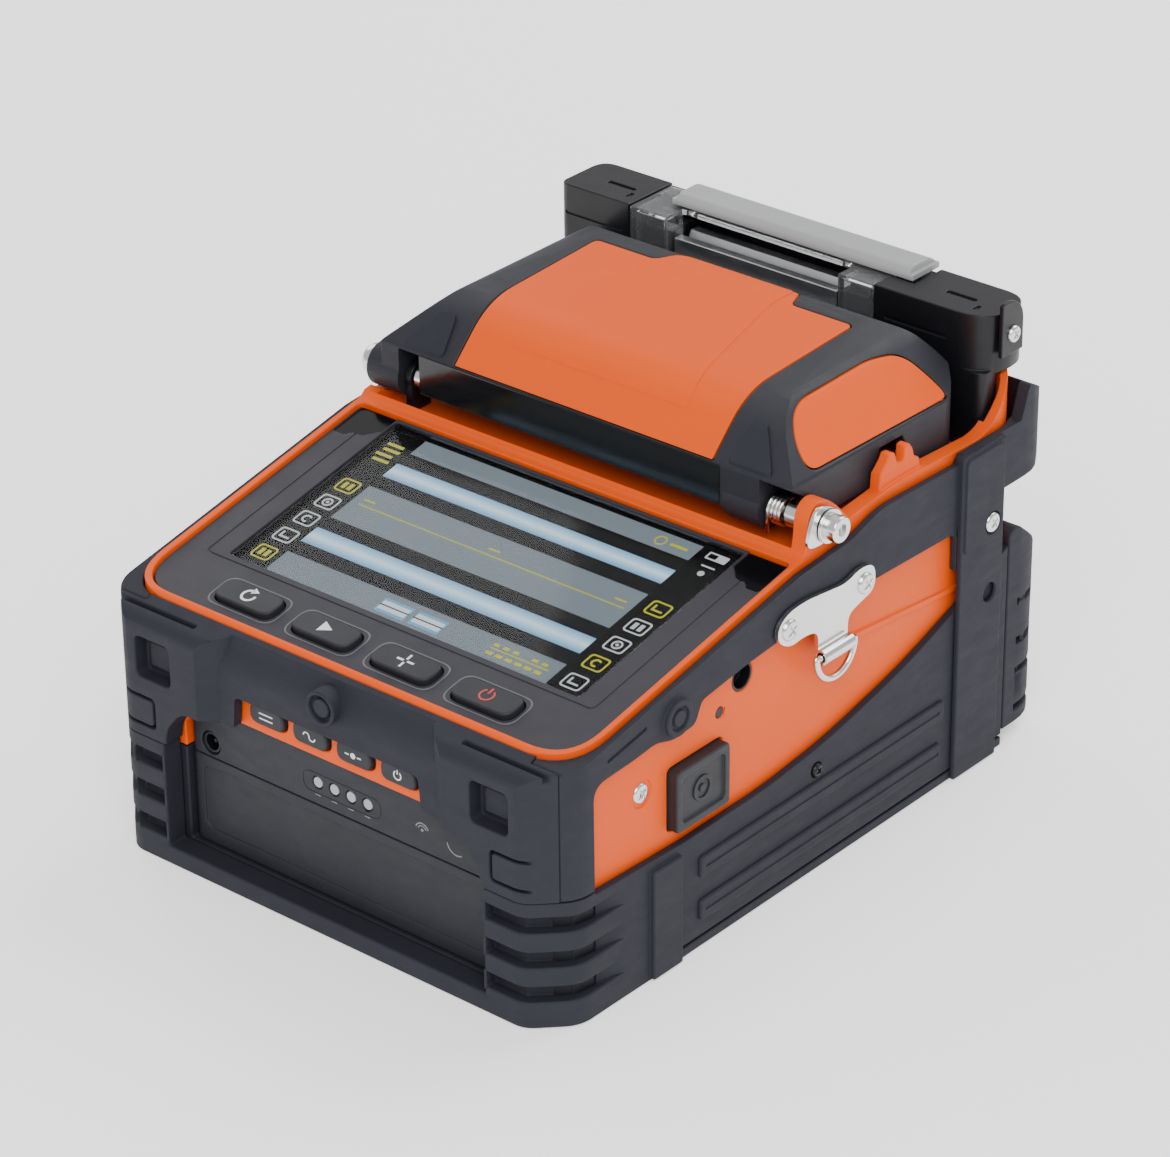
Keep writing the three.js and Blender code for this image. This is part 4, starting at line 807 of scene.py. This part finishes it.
def strip_keys():
    names = ("meter_unit_key", "meter_wave_key", "fault_light_key", "meter_power_key")
    for step, name in zip(STEPS, names):
        cap = inward(strip_key_shape(step, 0), 5.2, 9.9)
        shape = join(cap, inward(strip_key_shape(step, 0.9), 9.6, 10.4))
        place(name + "_cap", KEY, shape, 0.7, name, body=name)
        place(name + "_icon", WHITE_INK, strip_icon(name, step * STRIP_PITCH, STRIP_Z), 0, body=name)


# ---------------------------------------------------------------- display picture
PICTURE_LEFT, PICTURE_RIGHT, PICTURE_LOW, PICTURE_HIGH = -45.8, 44.2, 22.4, 82.8
FIBRES = ((35.3, 41.7), (66.0, 71.9))          # lit cores, up the slope
FIBRE_EDGE = 4.7                               # dark cladding on each side of a core
PICTURE_FLOOR = -3.36                          # where the picture starts, in the panel's frame
# the display's own colour, which hardly shines back
UNLIT = {"Base_Color": (0.003, 0.003, 0.003, 1), "Specular_IOR_Level": 0.05}


def lit(name, colour):
    """An area of the display that glows evenly; a dark colour stays dark in any light."""
    made, tree, base = shader(name)
    put(base, **UNLIT, Emission_Color=cloudy(tree, 16, colour, 0.9), Emission_Strength=1)
    return made


def fibre_glow(name, low, high):
    """A lit core, pale in the middle and bluer at its edges, across the depth of the display."""
    made, tree, base = shader(name)
    across_y = node(tree, "SeparateXYZ", Vector=node(tree, "TexCoord").outputs["Object"]).outputs["Y"]
    edges = [FRONT_Y + 0.001 * (PANEL_FRAME @ Vector((0, v, PICTURE_FLOOR))).y for v in (low, high)]
    ramp = node(tree, "ValToRGB", Fac=spread(tree, across_y, *edges, 0, 1))
    stops = ramp.color_ramp.elements
    stops[0].color, stops[1].color = (0.16, 0.38, 0.62, 1), (0.20, 0.42, 0.66, 1)
    blue, pale = (0.42, 0.68, 0.88, 1), (0.72, 0.88, 0.97, 1)
    for at, colour in ((0.3, blue), (0.5, pale), (0.7, blue)):
        stops.new(at).color = colour
    put(base, **UNLIT, Emission_Color=ramp.outputs["Color"], Emission_Strength=1.15)
    return made


def flat_mark(path, level):
    """A printed or lit area of the display; a higher level lies over a lower one."""
    return on_panel(path, PICTURE_FLOOR, PICTURE_FLOOR + 0.03 * (level + 1))


def display_picture():
    mask = on_panel(rectangle(-56.6, 56.6, 20.7, 84.1), -3.8, PICTURE_FLOOR + 0.012)
    place("display_border", lit("border_dark", (0.002, 0.002, 0.0025)), mask, 0)
    view = merged(flat_mark(rectangle(PICTURE_LEFT, PICTURE_RIGHT, PICTURE_LOW, PICTURE_HIGH), 0))
    place("display_background", lit("display_grey", (0.215, 0.265, 0.30)), view, 0)
    bands = [flat_mark(rectangle(PICTURE_LEFT, PICTURE_RIGHT, low - FIBRE_EDGE, high + FIBRE_EDGE), 1)
        for low, high in FIBRES]
    place("display_cladding", lit("display_dark", (0.004, 0.004, 0.005)), merged(*bands), 0)
    for number, (low, high) in enumerate(FIBRES):
        core = flat_mark(rectangle(PICTURE_LEFT, PICTURE_RIGHT, low, high), 2)
        place(f"display_core_{number}", fibre_glow(f"core_glow_{number}", low, high), core, 0)
    thumbs, thumb_bars, thumb_lines = [], [], []
    for left in (-11.2, -0.3):
        thumbs.append(flat_mark(rectangle(left, left + 9.4, 23.6, 28.6), 1))
        thumb_bars.append(flat_mark(rectangle(left + 0.4, left + 9, 24.5, 27.7), 2))
        thumb_lines.append(flat_mark(rectangle(left, left + 9.4, 25.9, 26.3), 3))
    place("display_thumbs", lit("thumb_blue", (0.16, 0.48, 0.80)), merged(*thumbs), 0)
    place("display_thumb_bars", lit("thumb_white", (0.82, 0.90, 0.95)), merged(*thumb_bars), 0)
    place("display_thumb_lines", lit("thumb_line", (0.02, 0.015, 0.02)), merged(*thumb_lines), 0)
    display_marks()


def display_marks():
    """Thin guide lines, tick bars and two columns of generic symbols."""
    yellow = [rectangle(-43, 42.6, 53.9, 54.2), rectangle(24, 42, 26.3, 26.6)]
    yellow += [rectangle(24 + 3 * i, 26 + 3 * i, 24.2, 25.2) for i in range(6)]
    yellow += [rectangle(24 + 3 * i, 25.6 + 3 * i, 27.4, 28.3) for i in range(6) if i != 3]
    yellow += [rectangle(u, u + 3.6, v, v + 0.5) for u, v in ((-43, 56), (-2, 56), (38, 56))]
    yellow += [arc_band(33.4, 79.6, 1.7, 1.35, 0, 359), rectangle(36.4, 41.6, 79.2, 80)]
    yellow += [rectangle(-53.6 + shift, -48.4 + shift, v, v + 0.9)
        for v, shift in ((70.4, 0.3), (72.6, -0.4), (74.8, 0.2), (77, -0.2))]
    white = []
    columns = [(-50.7, v) for v in (27.3, 35.2, 43, 50.8, 58.4)]
    columns += [(50, v) for v in (26.4, 34.4, 42.3, 50.1, 57.9)]
    for number, (u, v) in enumerate(columns):
        chosen = yellow if number in (0, 4, 6, 9) else white
        chosen.append((centred(u, v, 3, 2.6, 1.2), centred(u, v, 2.6, 2.2, 1.0)))
        chosen += [
            [rectangle(u - 1.5, u - 0.4, v - 1.2, v + 1.2), rectangle(u + 0.4, u + 1.5, v - 1.2, v + 1.2)],
            [rectangle(u - 1.6, u + 1.6, v - 1, v - 0.5), rectangle(u - 1.6, u - 1.1, v - 1, v + 1.2)],
            [arc_band(u, v, 1.4, 0.9, 40, 300)],
            [arc_band(u, v, 1.5, 1.05, 0, 359), disc(u, v, 0.45, 16)],
        ][number % 4]
    # a pair is a frame: the first shape without the second
    white += [(rectangle(47, 53, 79.4, 82, 0.3), rectangle(47.4, 50, 79.8, 81.6)), disc(50.2, 74, 0.9, 20),
        rectangle(48.2, 52.2, 76.6, 77)]
    colours = {"yellow": (0.62, 0.60, 0.03), "white": (0.66, 0.70, 0.72)}
    for name, shapes in (("yellow", yellow), ("white", white)):
        bodies = [cut(flat_mark(shape[0], 4), on_panel(shape[1], -5, 0))
            if isinstance(shape, tuple) else flat_mark(shape, 4) for shape in shapes]
        place(f"display_marks_{name}", lit(f"mark_{name}", colours[name]), merged(*bodies), 0)


# ---------------------------------------------------------------- battery pack
LIGHT_PLACES, LIGHT_Z = (-7.2, -1.8, 3.6, 9), 36.6


def pack_section(inset):
    low, high = 38.2 - 0.36 * inset, 44.2 - inset
    wide, narrow = PACK_HALF - inset, 45 - 0.47 * inset
    return outline(symmetric([(wide, 5.4 + inset), (wide, low), (narrow, high)]))


def battery_pack():
    plan = rectangle(-PACK_HALF, PACK_HALF, PACK_FRONT, PACK_REAR, 2.5)
    room = inward(pack_section(2), PACK_FRONT + 2, PACK_REAR - 2)
    section = inward(pack_section(0), PACK_FRONT, PACK_REAR)
    lights = [inward(disc(x, LIGHT_Z, 1.7), 0, 12) for x in LIGHT_PLACES]
    plate = rectangle(-12, 13.6, 33.6, 39.4, 2.8)
    border = cut(inward(plate, 7, 7.62), inward(rectangle(-11.7, 13.3, 33.9, 39.1, 2.6), 6, 9))
    upper = cut(common(raised(plan, PACK_SPLIT + GAP, 44.2), section), room, border, *lights,
        inward(disc(*JACK, 3.2), 0, 12))
    lower = cut(common(raised(plan, 5.4, PACK_SPLIT), section), room,
        inward(rectangle(-46, 46, 9.5, 27.5, 3), 7, 8.0))
    place("pack_upper_shell", CHARCOAL, upper, 0.3, "battery_shell_upper", "battery")
    place("pack_lower_shell", CHARCOAL, lower, 0.3, "battery_shell_lower", "battery")
    marks = [arc_band(26.6, 36.2, 2.2, 1.9, 20, 160), arc_band(26.6, 36.2, 1.5, 1.2, 20, 160),
        disc(26.6, 36.4, 0.45, 16), arc_band(37.5, 36.6, 3.2, 2.9, 190, 300)]
    marks += [rectangle(x - 0.9, x + 0.9, 33.1, 33.35) for x in LIGHT_PLACES]
    place("pack_marks", GREY_INK, merged(*[inward(mark, 7.44, 7.55) for mark in marks]), 0, body="battery")
    bar = block(-11, 13, 9.8, 11.4, 34.4, 38.8)
    guides = join(bar, *[inward(disc(x, LIGHT_Z, 1.4), 7.6, 10) for x in LIGHT_PLACES])
    place("light_guides", LAMP, guides, 0.2, "charge_lights", "battery")
    jack = cut(join(block(-47, -39, 9.8, 21, 30.9, 38.3), inward(disc(*JACK, 2.9), 8, 10)),
        inward(disc(*JACK, 2.1), 0, 19))
    jack = join(jack, inward(disc(*JACK, 0.6, 20), 9, 20))
    place("charging_jack", BLACK, jack, 0.2, "dc_jack", "battery")


# ---------------------------------------------------------------- side controls and strap hardware
def push_button():
    face = across(button_shape(0), 68.2, 74)
    scoop = across(rectangle(46.6, 62.6, 37.8, 50.2, 1.6), 73.3, 80)
    ring = cut(across(disc(*BUTTON_MARK, 3.4), 73, 73.7), across(disc(*BUTTON_MARK, 2.5), 72, 75))
    dot = across(disc(*BUTTON_MARK, 1.1, 24), 73, 73.7)
    stem = block(53.6, 69, 51, 58, 37, 42)
    return join(cut(face, scoop), stem), merged(ring, dot)


def strap_bracket():
    plate = across([(81, 72, 3), (85.8, 68.8, 3), (91, 69.6, 3), (96.9, 68.6, 3), (96.9, 62), (108.5, 62),
        (108.5, 68, 3), (113, 69.4, 3), (119.6, 71, 4), (119, 78, 3), (113, 79, 3), (107.7, 77.1, 3),
        (92, 79, 3), (85, 78.6, 4), (81.2, 76, 3)], 73.8, 75)
    roll = inward(disc(RING_X, RING_Z, 2), 96.9, 108.5)
    plate = cut(join(plate, roll), inward(disc(RING_X, RING_Z, 1.2), 90, 115))
    rivets = [screw_head(y, z, 74.8, 2.8) for y, z in ((85.5, 73.8), (115.2, 74))]
    return plate, merged(*rivets)


def d_ring():
    turns = [math.pi + math.pi * i / 28 for i in range(29)]
    arc = [(RING_RADIUS * math.cos(a), RING_RADIUS * math.sin(a)) for a in turns]
    straight = [(RING_RADIUS * (1 - i / 6), 0) for i in range(1, 12)]
    return tube([Vector((RING_X, RING_Y + y, RING_Z + z)) for y, z in arc + straight], RING_WIRE, 16,
        loop=True)


def hinge_pin(dome, shaft, inner):
    """A shaft along the hinge axis between the two places, with a domed head at one end."""
    out = math.copysign(1, dome - inner)
    cap = turned([(radius, dome - out * at) for radius, at in ((0, 0), (1.6, 0.1), (2.7, 0.6), (3.1, 1.4),
        (3.1, 2.9), (2.9, 3.2), (0, 3.2))])
    rod = turned([(0, shaft), (2.1, shaft), (2.1, inner), (0, inner)])
    return join(moved(cap, HINGE_AXIS), moved(rod, HINGE_AXIS))


def socket_head(low, high, radius, socket):
    """A chamfered round head facing +X with a six-sided socket."""
    head = turned([(0, low), (radius - 0.2, low), (radius, low + 0.2), (radius, high - 0.4),
        (radius - 0.3, high), (0, high)])
    return cut(moved(head, HINGE_AXIS), hinge_disc(socket, high - 1.5, high + 1, 6))


def hinge_spring():
    """Close coils round the right pin with a straight leg down to the tray."""
    start, length, radius, turns, count = 57.1, 4, 3.6, 3.5, 96
    points = [Vector((start, -radius, drop)) for drop in (-5.6, -4, -2.4, -1)]
    for i in range(count + 1):
        share = i / count
        angle = math.pi - 2 * math.pi * turns * share
        points.append(Vector((start + length * share, radius * math.cos(angle), radius * math.sin(angle))))
    return moved(tube(points, 0.55), HINGE_AXIS)


def hinges():
    teardrop = [(99, 100.4, 2.5), (106.4, 98, 4), (106.4, 90.6, 4), (100, 89.4, 3), (95, 90.4, 2),
        (96.4, 96, 4)]
    button = turned([(0, -75.6), (2.2, -75.5), (3.6, -74.8), (4.3, -73.6), (4.3, -72.2), (4, -71.6),
        (0, -71.6)])
    foot = across(rectangle(HINGE_Y - 3.6, HINGE_Y + 3.6, TRAY_FLOOR + GAP, HINGE_Z), -59.8, -57.6)
    parts = [
        ("hinge_pin_right", STEEL, 0.15,
         join(hinge_pin(41.4, 42, 68.2), socket_head(61.9, 66.4, 3.6, 1.5))),
        ("hinge_pin_left", STEEL, 0.15, join(hinge_pin(-74.8, -74.2, -57.3), moved(button, HINGE_AXIS))),
        ("hinge_spring", STEEL, 0, hinge_spring()),
        ("hinge_plate_right", STEEL, 0.3, cut(across(teardrop, 71.5, 72.7), hinge_disc(1.9, 70, 76))),
        # the left plate's black is painted shade: it stands for the shadow in the pocket beside the left
        # barrel, where a steel plate would shine
        ("hinge_plate_left", BLACK, 0.3,
         cut(join(foot, hinge_disc(4, -59.8, -57.6)), hinge_disc(2.5, -61, -57))),
        ("hinge_screw_right", STEEL, 0.15,
         join(socket_head(73.6, 77, 3.4, 1.7), hinge_disc(4.4, 72.9, 73.7), hinge_disc(1.6, 69.7, 73.7))),
        ("hinge_screw_left", STEEL, 0.15, socket_head(-57.2, -54, 3.4, 1.6)),
    ]
    for name, finish, edge, shape in parts:
        place(name + "_look", finish, shape, edge, name)


def side_hardware():
    plate, rivets = strap_bracket()
    cap, mark = push_button()
    parts = [
        ("push_button", "push_button_{}", KEY, cap, 0.5, "push_button_{}"),
        ("push_button_mark", "push_button_{}", KEY, mark, 0.1, None),
        ("bracket_plate", "chassis", STEEL, plate, 0.25, "strap_bracket_{}"),
        ("bracket_screws", "chassis", STEEL, rivets, 0.15, None),
        ("ring", "d_ring_{}", STEEL, d_ring(), 0, "d_ring_{}"),
    ]
    for side, turn in SIDES:
        for name, body, finish, mesh, edge, old in parts:
            stands_for = old and old.format(side)
            place(f"{name}_{side}_look", finish, turn(mesh), edge, stands_for, body.format(side))


# ---------------------------------------------------------------- wind cover
def lid_volume(inset):
    inner = inset > 0
    profile = [(97.5 + inset, 80 if inner else 92), (97.5 + inset, 103.5 - 0.4 * inset, 1),
        (111 + 0.4 * inset, 117 - inset, 9), (153.5, 119 - inset, 4), (162, 118.6 - inset, 4),
        (167.4 - inset, 111, 4), (LID_REAR - inset, 101, 3), (LID_REAR - inset, 80 if inner else 86)]
    if not inner:
        profile += [(158, 88.4), (130, 91.7), (114, 91.7), (106, 92)]
    foot, brow = LID_HALF - inset, 52 - 0.5 * inset
    section = symmetric([(40, 125), (43, 119 - inset), (brow, 117 - 0.9 * inset, 3),
        (foot, 103.5 - 0.43 * inset, 1), (foot, 80)])
    side, back = 162 - 0.4 * inset, LID_REAR - inset
    plan = symmetric([(foot, 97.5 + inset), (foot, side, 5), (58 - 0.4 * inset, back, 5)])
    return common(across(outline(profile, 10), -LID_HALF, LID_HALF), inward(section, 90, 180),
        raised(plan, 70, 130))


def top_plan(grow):
    return outline(symmetric([(41.3 + grow, 90), (41.3 + grow, 153.4 + grow, 2), (22, 153.4 + grow, 2),
        (18.5, 162 + grow, 3)]))


def insert_outline(grow):
    return outline([(105.4 - grow, 104.6 - grow, 4), (160.8 + grow, 104 - grow, 3), (159.4 + grow, 108, 3),
        (155.6, 114.4 + grow, 5), (145, 115.9 + grow, 4), (114.2, 115.6 + grow, 6), (107.4 - grow, 110.4, 5)])


def wind_cover():
    outer, core, bed = lid_volume(0), lid_volume(SKIN), lid_volume(SKIN + GAP)
    skin = cut(outer, core)
    above = block(-60, 60, 90, 180, 103.6, 130)
    top = common(skin, raised(top_plan(0), 80, 130), above)
    plateau = raised(symmetric([(30, 90), (26.5, 114, 8), (18, 150, 4), (17.6, 161.4, 3)]), 80, 130)
    lifted = moved(outer, Matrix.Translation((0, 0, 0.25)))
    raised_skin = common(lifted, plateau, block(-60, 60, 104.5, 180, 103.9, 130))
    top = cut(join(top, raised_skin), core)
    place("wind_cover_top", ORANGE, top, 0.3, "lid_top_panel", "wind_cover")

    insert = common(skin, across(insert_outline(0), 51.3, 70))
    for side, turn in SIDES:
        place(f"wind_cover_inlay_{side}", ORANGE, turn(insert), 0.3, f"lid_insert_{side}", "wind_cover")

    top_room = cut(common(raised(top_plan(GAP), 80, 130), block(-60, 60, 90, 180, 103.3, 130)), bed)
    insert_room = cut(across(insert_outline(GAP), 51, 70), bed)
    right_web = [(97.6, 94), (97.6, 99), (108, 99), (112, 95), (109, 94)]
    left_web = [(97.6, 94), (97.6, 103.4), (104, 103.4), (110, 97), (109, 94)]
    hinge_room = [(90, 80), (90, 103), (97.8, 103), (100.4, 101), (104.4, 98.4), (108.5, 94.8), (112.8, 91.4),
        (113, 80)]
    notch = across([(128, 80), (128, 91), (132, 101), (141, 101), (147.4, 90), (147.4, 80)], 60, 70)
    shape = cut(outer, lid_volume(4), across(hinge_room, BARREL_OUT, 70), across(hinge_room, -70, -53.2),
        hinge_disc(3.6, 40, BARREL_IN), notch, mirrored(notch))
    shape = join(shape, hinge_disc(6, BARREL_IN, BARREL_OUT), across(right_web, BARREL_IN, BARREL_OUT),
        hinge_disc(6, -LEFT_BARREL_OUT, -LEFT_BARREL_IN), across(left_web, -LID_HALF, -LEFT_BARREL_IN))
    shape = cut(shape, hinge_disc(2.5, 30, 60), hinge_disc(2.5, -75, -58), top_room, insert_room,
        mirrored(insert_room))
    place("wind_cover_frame", CHARCOAL, shape, 0.45, "lid_frame", "wind_cover")
    strip = common(cut(lid_volume(-0.25), lid_volume(0.2)), block(-53, 44, 96, 98.2, 92.6, 103.0))
    place("wind_cover_front_strip", GLOSS, strip, 0.1, body="wind_cover")
    corner = raised([(45.6, 98, 1.5), (59.4, 98, 1.5), (51.2, 106.8, 1.5), (47.6, 106.2, 1.5)], 100, 120)
    pad = common(cut(lid_volume(-0.6), lid_volume(0.3)), corner)
    place("wind_cover_pads", RUBBER, both(pad), 0.3, body="wind_cover")


def fibre_clamp():
    arm = on_stage(-14, 14, 9, 98, 112.4)
    feet = [on_stage(x - 2, x + 2, 3, 92.2, 99) for x in (-6.5, 6.5)]
    slot = on_stage(-9, 9, 5, 97, 99)
    place("clamp_arm", BLACK, join(cut(arm, slot), *feet), 0.5, "fibre_clamp", "wind_cover")


# ---------------------------------------------------------------- splicing stage
def on_stage(x0, x1, half, z0, z1):
    """A block that reaches half its depth to each side of the fibre line."""
    return block(x0, x1, STAGE_Y - half, STAGE_Y + half, z0, z1)


def fibre_groove(half, top, bottom, left, right):
    return across([(STAGE_Y - half, top), (STAGE_Y, bottom), (STAGE_Y + half, top)], left, right)


def stage():
    flange = on_stage(-47, 47, 25, TRAY_FLOOR + GAP, STAGE_TOP)
    body = on_stage(-44.6, 44.6, 23, 76, TRAY_FLOOR + 1)
    optics = [on_stage(-15, 15, 20, 60, 85.7), on_stage(-12, 12, 7, 80, 90)]
    screws = [raised(disc(x, y, 1.7, 24), STAGE_TOP - 0.6, 90) for x in (-43, 43)
        for y in (STAGE_Y - 21, STAGE_Y + 21)]
    shape = cut(join(flange, body), *optics, *screws)
    place("stage_plate", BRUSHED, shape, 0.3, "splice_base")
    bridge = join(on_stage(3.5, 16, 5, 87.6, 91), on_stage(16, 19, 5, 86.7, 91))
    groove = fibre_groove(0.7, 91.5, 90.3, 0, 30)
    vee = cut(bridge, groove)
    sledge = cut(join(on_stage(23, 41, 8, 86.7, 89.6), on_stage(24.5, 39.5, 5, 89.4, 93.4)),
        fibre_groove(0.8, 94, 92, 20, 50), *[raised(disc(x, STAGE_Y - 6.5, 1.0, 20), 88.8, 91)
        for x in (26, 38)])
    for side, turn in SIDES:
        place(f"vee_block_{side}", CERAMIC, turn(vee), 0.25, f"v_groove_{side}")
        body = f"drive_sledge_{side}"
        place(f"sledge_{side}", BRUSHED, turn(sledge), 0.3, body, body)


# ---------------------------------------------------------------- sleeve heater
def heater():
    beam = raised([(-70, HEATER_FRONT, 3), (69, HEATER_FRONT, 10), (69, HEATER_REAR, 8),
        (-70, HEATER_REAR, 5)], HEATER_LOW, HEATER_TOP)
    foot = block(-58, 58, 175.4, 181.6, TRAY_FLOOR + GAP, HEATER_LOW + 1)
    pedestal = raised([(48, HEATER_FRONT), (67.6, HEATER_FRONT, 3), (67.6, 181.6, 8), (48, 181.6)],
        TRAY_FLOOR + GAP, HEATER_LOW + 1)
    left, right = COVER_LEFT - GAP, COVER_RIGHT + GAP
    rooms = [block(left, right, 170, 186.4, 107.4, 130),
        block(left, right, 170, HEATER_FRONT + 1.8, 105.7, 130), block(left, right, 170, 200, 118.9, 130),
        block(-39, 41, 179.4, 200, 119.8, 130)]
    slots = [raised(rectangle(x, x + 9, 180, 181.4, 0.4), 120.2, 125) for x in (-60, 50)]
    slots += [raised(rectangle(x, x + 1.2, 176, 178.6, 0.3), 120.4, 125) for x in (-50.5, 61)]
    lines = [inward(rectangle(x, x + 19, 112.6, 113.4, 0.3), 170, HEATER_FRONT + 0.5) for x in (-68, 37)]
    shape = cut(join(beam, foot, pedestal, mirrored(pedestal)), *rooms, *slots, *lines)
    place("heater_housing", BLACK, shape, 0.35, "heater_body")
    trough = across([(174.8, 107.8), (184.4, 107.8), (184.4, 114.4), (181.6, 114.4), (179.6, 110, 0.8),
        (177.6, 114.4), (174.8, 114.4)], -33, 20)
    place("heater_channel", BRUSHED, trough, 0.25, "heater_trough")
    for side, left, right in (("left", -44, -34), ("right", 21, 31)):
        jaw = block(left + 2, right - 2, 177, 182, 115.4, 117.6)
        clamp = join(block(left, right, 175, 184.6, 107.8, 115.6), jaw)
        clamp = cut(clamp, across([(178.9, 118), (179.6, 115.8), (180.3, 118)], left - 1, right + 1))
        place(f"sleeve_clamp_{side}", BLACK, clamp, 0.3, f"heater_clamp_{side}")
    plate = across([(176, 110), (185, 110), (185, 121, 3), (181, 124.6, 3), (176, 124.6, 1)], 69.3, 70.5)
    place("end_bracket", BLACK, plate, 0.3, "heater_bracket")
    place("end_bracket_screw", STEEL, screw_head(180.5, 115.4, 70.4, 2.3), 0.15)


def heater_lid():
    front = HEATER_FRONT + 0.1
    sheet = block(COVER_LEFT, COVER_RIGHT, front, 190.2, 119.2, 120.6)
    skirt = block(COVER_LEFT, COVER_RIGHT, front, front + 1.4, 106, 120)
    cheeks = [block(x, x + 1.2, front, 184, 108.4, 120) for x in (COVER_LEFT, COVER_RIGHT - 1.2)]
    window = block(-34, 22, 170, 179.4, 110, 130)
    rims = [block(x, x + 1.3, front, 179.6, 109.2, 119.6) for x in (-35.2, 22)]
    sill = block(-35.2, 23.3, front, front + 2.2, 108.6, 109.9)
    shape = join(cut(join(sheet, skirt, *cheeks), window), *rims, sill)
    place("clear_heater_cover", CLEAR, shape, 0.3, "heater_cover", "heater_lid")
    bar = across([(179.8, 120.9), (191.5, 120.9), (191.5, 122.6, 1), (188.6, 124.2, 1), (181.6, 124.2, 1),
        (179.8, 122.4, 1)], -38, 40)
    ends = [block(x, x + 4.4, 178, 193, 122.4, 126) for x in (-41, 38.6)]
    place("heater_lid_bar", COVER_GREY, cut(bar, *ends), 0.5, "heater_cover_bar", "heater_lid")
    upright = moved(screw_head(0, 0, 0, 1.9), Matrix.Rotation(-math.pi / 2, 4, "Y"))
    screws = [moved(upright, Matrix.Translation((x, 181.2, 119.2))) for x in (-31.5, 19.5)]
    place("heater_clamp_screws", STEEL, merged(*screws), 0.15)


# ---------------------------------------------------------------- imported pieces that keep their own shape
def dress(name, finish, edge=0.3):
    """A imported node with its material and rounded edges."""
    piece = NODES[name]
    piece.data.materials.clear()
    piece.data.materials.append(finish)
    merge = piece.modifiers.new("merge", "WELD")
    merge.merge_threshold = 1e-6
    flat = piece.modifiers.new("flat", "DECIMATE")
    flat.decimate_type = "DISSOLVE"
    flat.angle_limit = FLAT
    bevel(piece, edge * 0.001, 2, "ANGLE")
    shade(piece)


DRESSED = (
    ("lower_case", CHARCOAL, 0.4), ("base_plate", BRUSHED, 0.3), ("screen_glass", GLASS, 0.25),
    ("lcd_module", SCREEN_BLACK, 0.2), ("key_board", BOARD, 0.15), ("main_board", BOARD, 0.15),
    ("electrode_front", BRASS, 0.12), ("electrode_rear", BRASS, 0.12), ("microscope_front", BLACK, 0.25),
    ("microscope_rear", BLACK, 0.25), ("battery_cells", WRAP, 0.3))


# ---------------------------------------------------------------- floor, light and camera
def studio():
    floor_mesh = bmesh.new()
    bmesh.ops.create_grid(floor_mesh, x_segments=1, y_segments=1, size=6)
    data = bpy.data.meshes.new("floor")
    floor_mesh.to_mesh(data)
    floor_mesh.free()
    floor = bpy.data.objects.new("floor", data)
    floor.location.z = CAD_BOX[0].z - 0.0003
    SCENE.collection.objects.link(floor)
    paper, tree, base = shader("floor_paper")
    put(base, Base_Color=mix(tree, noise(tree, 400), (0.97, 0.97, 0.97), (0.95, 0.95, 0.95)), Roughness=0.9,
        Emission_Color=(1, 1, 1, 1), Emission_Strength=0.55)
    data.materials.append(paper)

    world = bpy.data.worlds.new("studio")
    SCENE.world = world
    world.use_nodes = True
    put(world.node_tree.nodes["Background"], Color=(1, 1, 1, 1), Strength=0.75)
    middle = Vector((0, 0, 0.06))
    for name, at, size, watts in (
            ("key", (0.8, -0.95, 1.15), 1.1, 22), ("fill", (-1.2, 0.4, 0.9), 1.0, 6),
            ("back", (0.1, 1.1, 1.2), 1.2, 14)):
        lamp = bpy.data.lights.new(name, "AREA")
        lamp.shape = "DISK"
        lamp.size = size
        lamp.energy = watts
        light = bpy.data.objects.new(name, lamp)
        light.location = at
        light.rotation_mode = "QUATERNION"
        light.rotation_quaternion = (middle - light.location).to_track_quat("-Z", "Y")
        SCENE.collection.objects.link(light)


def camera():
    """The viewpoint: 40 degrees to the operator's right and 28 degrees up, through a long lens."""
    azimuth, elevation, roll = math.radians(40.4), math.radians(28.28), math.radians(-0.58)
    lens = bpy.data.cameras.new("camera")
    lens.sensor_width = 36
    lens.lens = 138.9
    lens.clip_start = 0.01
    eye = bpy.data.objects.new("camera", lens)
    eye.location = (0.6456, -0.65970 + FRONT_Y, 0.5925)
    eye.rotation_mode = "XYZ"
    turns = ((azimuth, "Z"), (math.pi / 2 - elevation, "X"), (roll, "Z"))
    first, second, third = (Matrix.Rotation(angle, 4, axis) for angle, axis in turns)
    eye.rotation_euler = (first @ second @ third).to_euler("XYZ")
    SCENE.collection.objects.link(eye)
    SCENE.camera = eye


for build in (
        upper_case, case_details, bumper_front, bumper_rail, bumper_lower, bumper_rear, panel_bezel,
        panel_keys, strip_keys, display_picture, battery_pack, side_hardware, hinges, wind_cover, fibre_clamp,
        stage, heater, heater_lid, studio, camera):
    build()
for node_name, finish, edge in DRESSED:
    dress(node_name, finish, edge)
